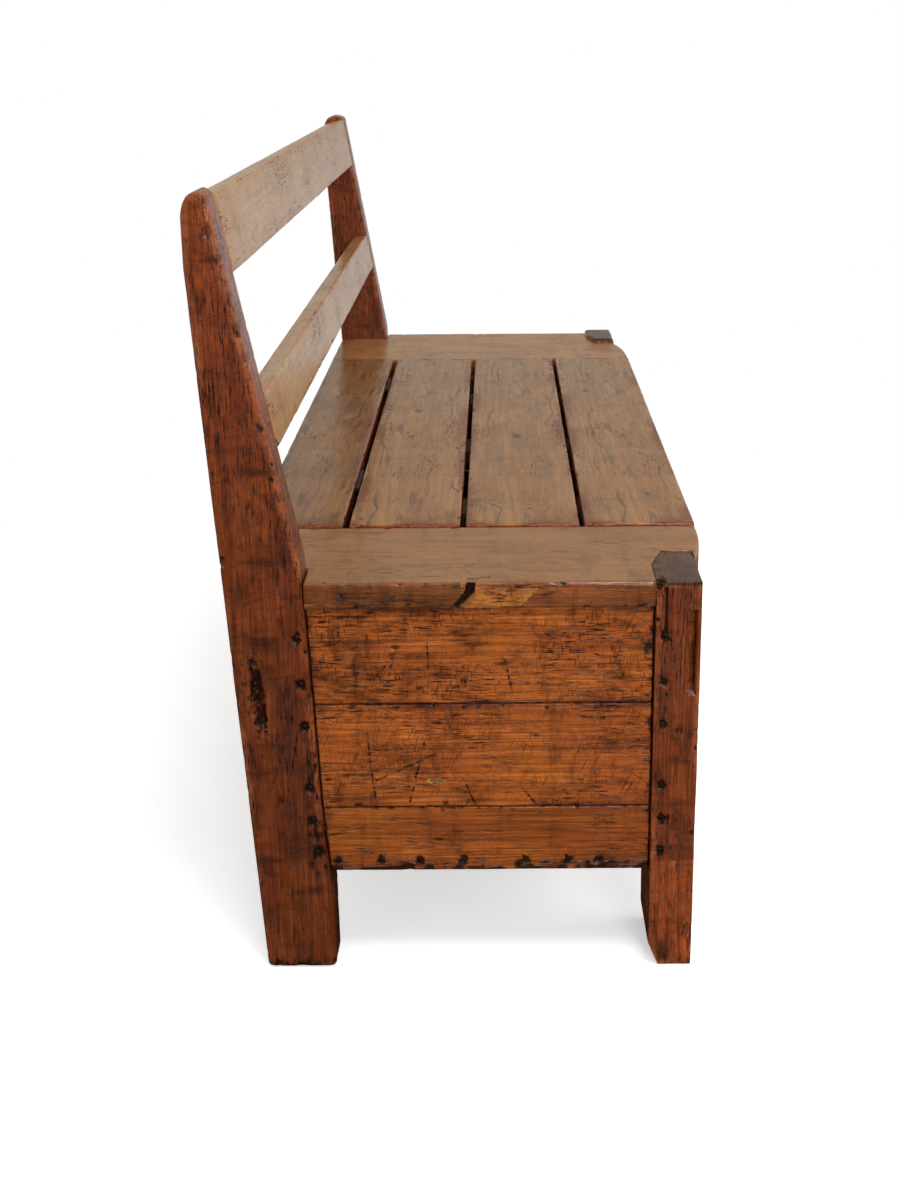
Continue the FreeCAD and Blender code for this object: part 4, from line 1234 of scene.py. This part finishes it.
class SETTLE_OT_stage(Operator):
    """Plain pale floor, soft light and the camera"""
    bl_idname = "settle.stage"
    bl_label = "Stage"

    def execute(self, context):
        stage = context.scene.settle_stage
        self.make_floor(stage)
        self.make_sky(context, stage)
        self.make_lamps(context, stage)
        self.make_camera(context)
        context.scene.view_settings.view_transform = "Standard"
        return {"FINISHED"}

    def make_floor(self, stage):
        """A floor that takes the shadow near the settle and, for the eye alone, is white further off."""
        mesh = bmesh.new()
        bmesh.ops.create_grid(mesh, x_segments=1, y_segments=1, size=FLOOR_HALF)
        data = bpy.data.meshes.new("floor")
        mesh.to_mesh(data)
        mesh.free()
        floor = bpy.data.objects.new("floor", data)
        bpy.context.scene.collection.objects.link(floor)
        material, tree, shader = new_material("matt_pale_floor")
        place = add(tree, "ShaderNodeTexCoord").outputs["Object"]
        light_path = add(tree, "ShaderNodeLightPath")
        seen = light_path.outputs["Is Camera Ray"]
        glossy = light_path.outputs["Is Glossy Ray"]
        unseen = blend_colour(tree, glossy, to_linear("#a6a29c"), to_linear("#3a2c22"))
        tint = blend_colour(tree, seen, unseen, stage.floor_colour)
        fill(tree, shader, {"Base Color": tint, "Roughness": 0.9, "Specular IOR Level": 0.1})
        far = add(tree, "ShaderNodeVectorMath", {0: place}, operation="LENGTH").outputs["Value"]
        fade = add(tree, "ShaderNodeMapRange", {"Value": far, "From Min": 0.55, "From Max": 1.3},
                   interpolation_type="SMOOTHSTEP").outputs[0]
        lift = add(tree, "ShaderNodeEmission",
                   {"Color": WHITE, "Strength": product(tree, seen, 0.45)}).outputs[0]
        lifted = add(tree, "ShaderNodeAddShader", {0: shader.outputs["BSDF"], 1: lift}).outputs[0]
        white = add(tree, "ShaderNodeEmission", {"Color": WHITE, "Strength": 1.0}).outputs[0]
        behind = add(tree, "ShaderNodeSeparateXYZ", {0: place}).outputs["X"]
        behind = add(tree, "ShaderNodeMapRange",
                     {"Value": behind, "From Min": 0.4, "From Max": 1.4, "To Max": 0.6}).outputs[0]
        shine = product(tree, behind, glossy)
        share = strongest(tree, product(tree, fade, seen), shine)
        mixed = add(tree, "ShaderNodeMixShader", {0: share, 1: lifted, 2: white}).outputs[0]
        tree.links.new(mixed, tree.nodes["Material Output"].inputs["Surface"])
        data.materials.append(material)

    def make_sky(self, context, stage):
        """Even light, white to the eye; what shines is white behind the settle and dim before it."""
        world = bpy.data.worlds.new("studio")
        context.scene.world = world
        world.use_nodes = True
        tree = world.node_tree
        tree.nodes.clear()
        seen = add(tree, "ShaderNodeLightPath")
        way = add(tree, "ShaderNodeTexCoord").outputs["Generated"]
        ahead = add(tree, "ShaderNodeSeparateXYZ", {0: way}).outputs["X"]
        shine = add(tree, "ShaderNodeMapRange",
                    {"Value": ahead, "From Min": -0.5, "From Max": 0.4,
                     "To Min": 0.15, "To Max": 0.5}).outputs[0]
        level = add(tree, "ShaderNodeMix",
                    {"Factor": seen.outputs["Is Glossy Ray"], 2: stage.sky_level, 3: shine}).outputs[0]
        level = strongest(tree, level, seen.outputs["Is Camera Ray"])
        colour = blend_colour(tree, seen.outputs["Is Glossy Ray"], WHITE, to_linear("#fff6e6"))
        sky = add(tree, "ShaderNodeBackground", {"Color": colour, "Strength": level})
        add(tree, "ShaderNodeOutputWorld", {"Surface": sky.outputs[0]})

    def make_lamps(self, context, stage):
        """Soft square lamps that all look at the near end."""
        for name, (place, size, share) in LAMPS.items():
            lamp = bpy.data.lights.new(name, "AREA")
            lamp.size = size
            lamp.energy = stage.lamp_power * share
            holder = bpy.data.objects.new(name, lamp)
            holder.location = place
            aim = LAMP_AIM - Vector(place)
            holder.rotation_mode = "QUATERNION"
            holder.rotation_quaternion = aim.to_track_quat("-Z", "Y")
            context.scene.collection.objects.link(holder)

    def make_camera(self, context):
        """The eye of the photograph, whose picture was cut to one side of its axis."""
        camera = bpy.data.cameras.new("camera")
        camera.sensor_width = CAMERA_SENSOR
        camera.lens = CAMERA_LENS
        camera.shift_x, camera.shift_y = CAMERA_SHIFT
        camera.clip_start = 0.05
        holder = bpy.data.objects.new("camera", camera)
        context.scene.collection.objects.link(holder)
        yaw, pitch, roll = CAMERA_YAW, CAMERA_PITCH, CAMERA_ROLL
        ahead = Vector((math.cos(yaw), -math.sin(yaw), 0))
        right = Vector((-math.sin(yaw), -math.cos(yaw), 0))
        view = ahead * math.cos(pitch) - Z_WAY * math.sin(pitch)
        top = ahead * math.sin(pitch) + Z_WAY * math.cos(pitch)
        x_axis = right * math.cos(roll) + top * math.sin(roll)
        y_axis = -right * math.sin(roll) + top * math.cos(roll)
        turn = Matrix((x_axis, y_axis, -view)).transposed()
        holder.matrix_world = Matrix.Translation(CAMERA_PLACE) @ turn.to_4x4()
        context.scene.camera = holder


class SETTLE_PT_panel(Panel):
    """Lists the steps that build the settle"""
    bl_idname = "SETTLE_PT_panel"
    bl_label = "Pine box settle"
    bl_space_type = "VIEW_3D"
    bl_region_type = "UI"
    bl_category = "Settle"

    def draw(self, context):
        for group in (context.scene.settle_wood, context.scene.settle_stage):
            for name in group.bl_rna.properties.keys():
                if name not in ("rna_type", "name"):
                    self.layout.prop(group, name)
        for step in STEPS:
            self.layout.operator(step.bl_idname)


STEPS = (
    SETTLE_OT_back_posts, SETTLE_OT_front_posts, SETTLE_OT_end_panels, SETTLE_OT_front_boards,
    SETTLE_OT_back_boards, SETTLE_OT_chest_floor, SETTLE_OT_bearers, SETTLE_OT_seat_ends,
    SETTLE_OT_planks, SETTLE_OT_back_rails, SETTLE_OT_ironwork, SETTLE_OT_stage,
)
GROUPS = (SettleWood, SettleStage)


def register():
    for group in GROUPS + STEPS + (SETTLE_PT_panel,):
        bpy.utils.register_class(group)
    bpy.types.Scene.settle_wood = PointerProperty(type=SettleWood)
    bpy.types.Scene.settle_stage = PointerProperty(type=SettleStage)


def unregister():
    del bpy.types.Scene.settle_stage
    del bpy.types.Scene.settle_wood
    for group in reversed(GROUPS + STEPS + (SETTLE_PT_panel,)):
        bpy.utils.unregister_class(group)


def main():
    """Register the steps, and build every piece and the stage."""
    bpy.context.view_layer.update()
    register()
    for step in STEPS:
        area, name = step.bl_idname.split(".")
        getattr(getattr(bpy.ops, area), name)()


if __name__ == "__main__":
    main()
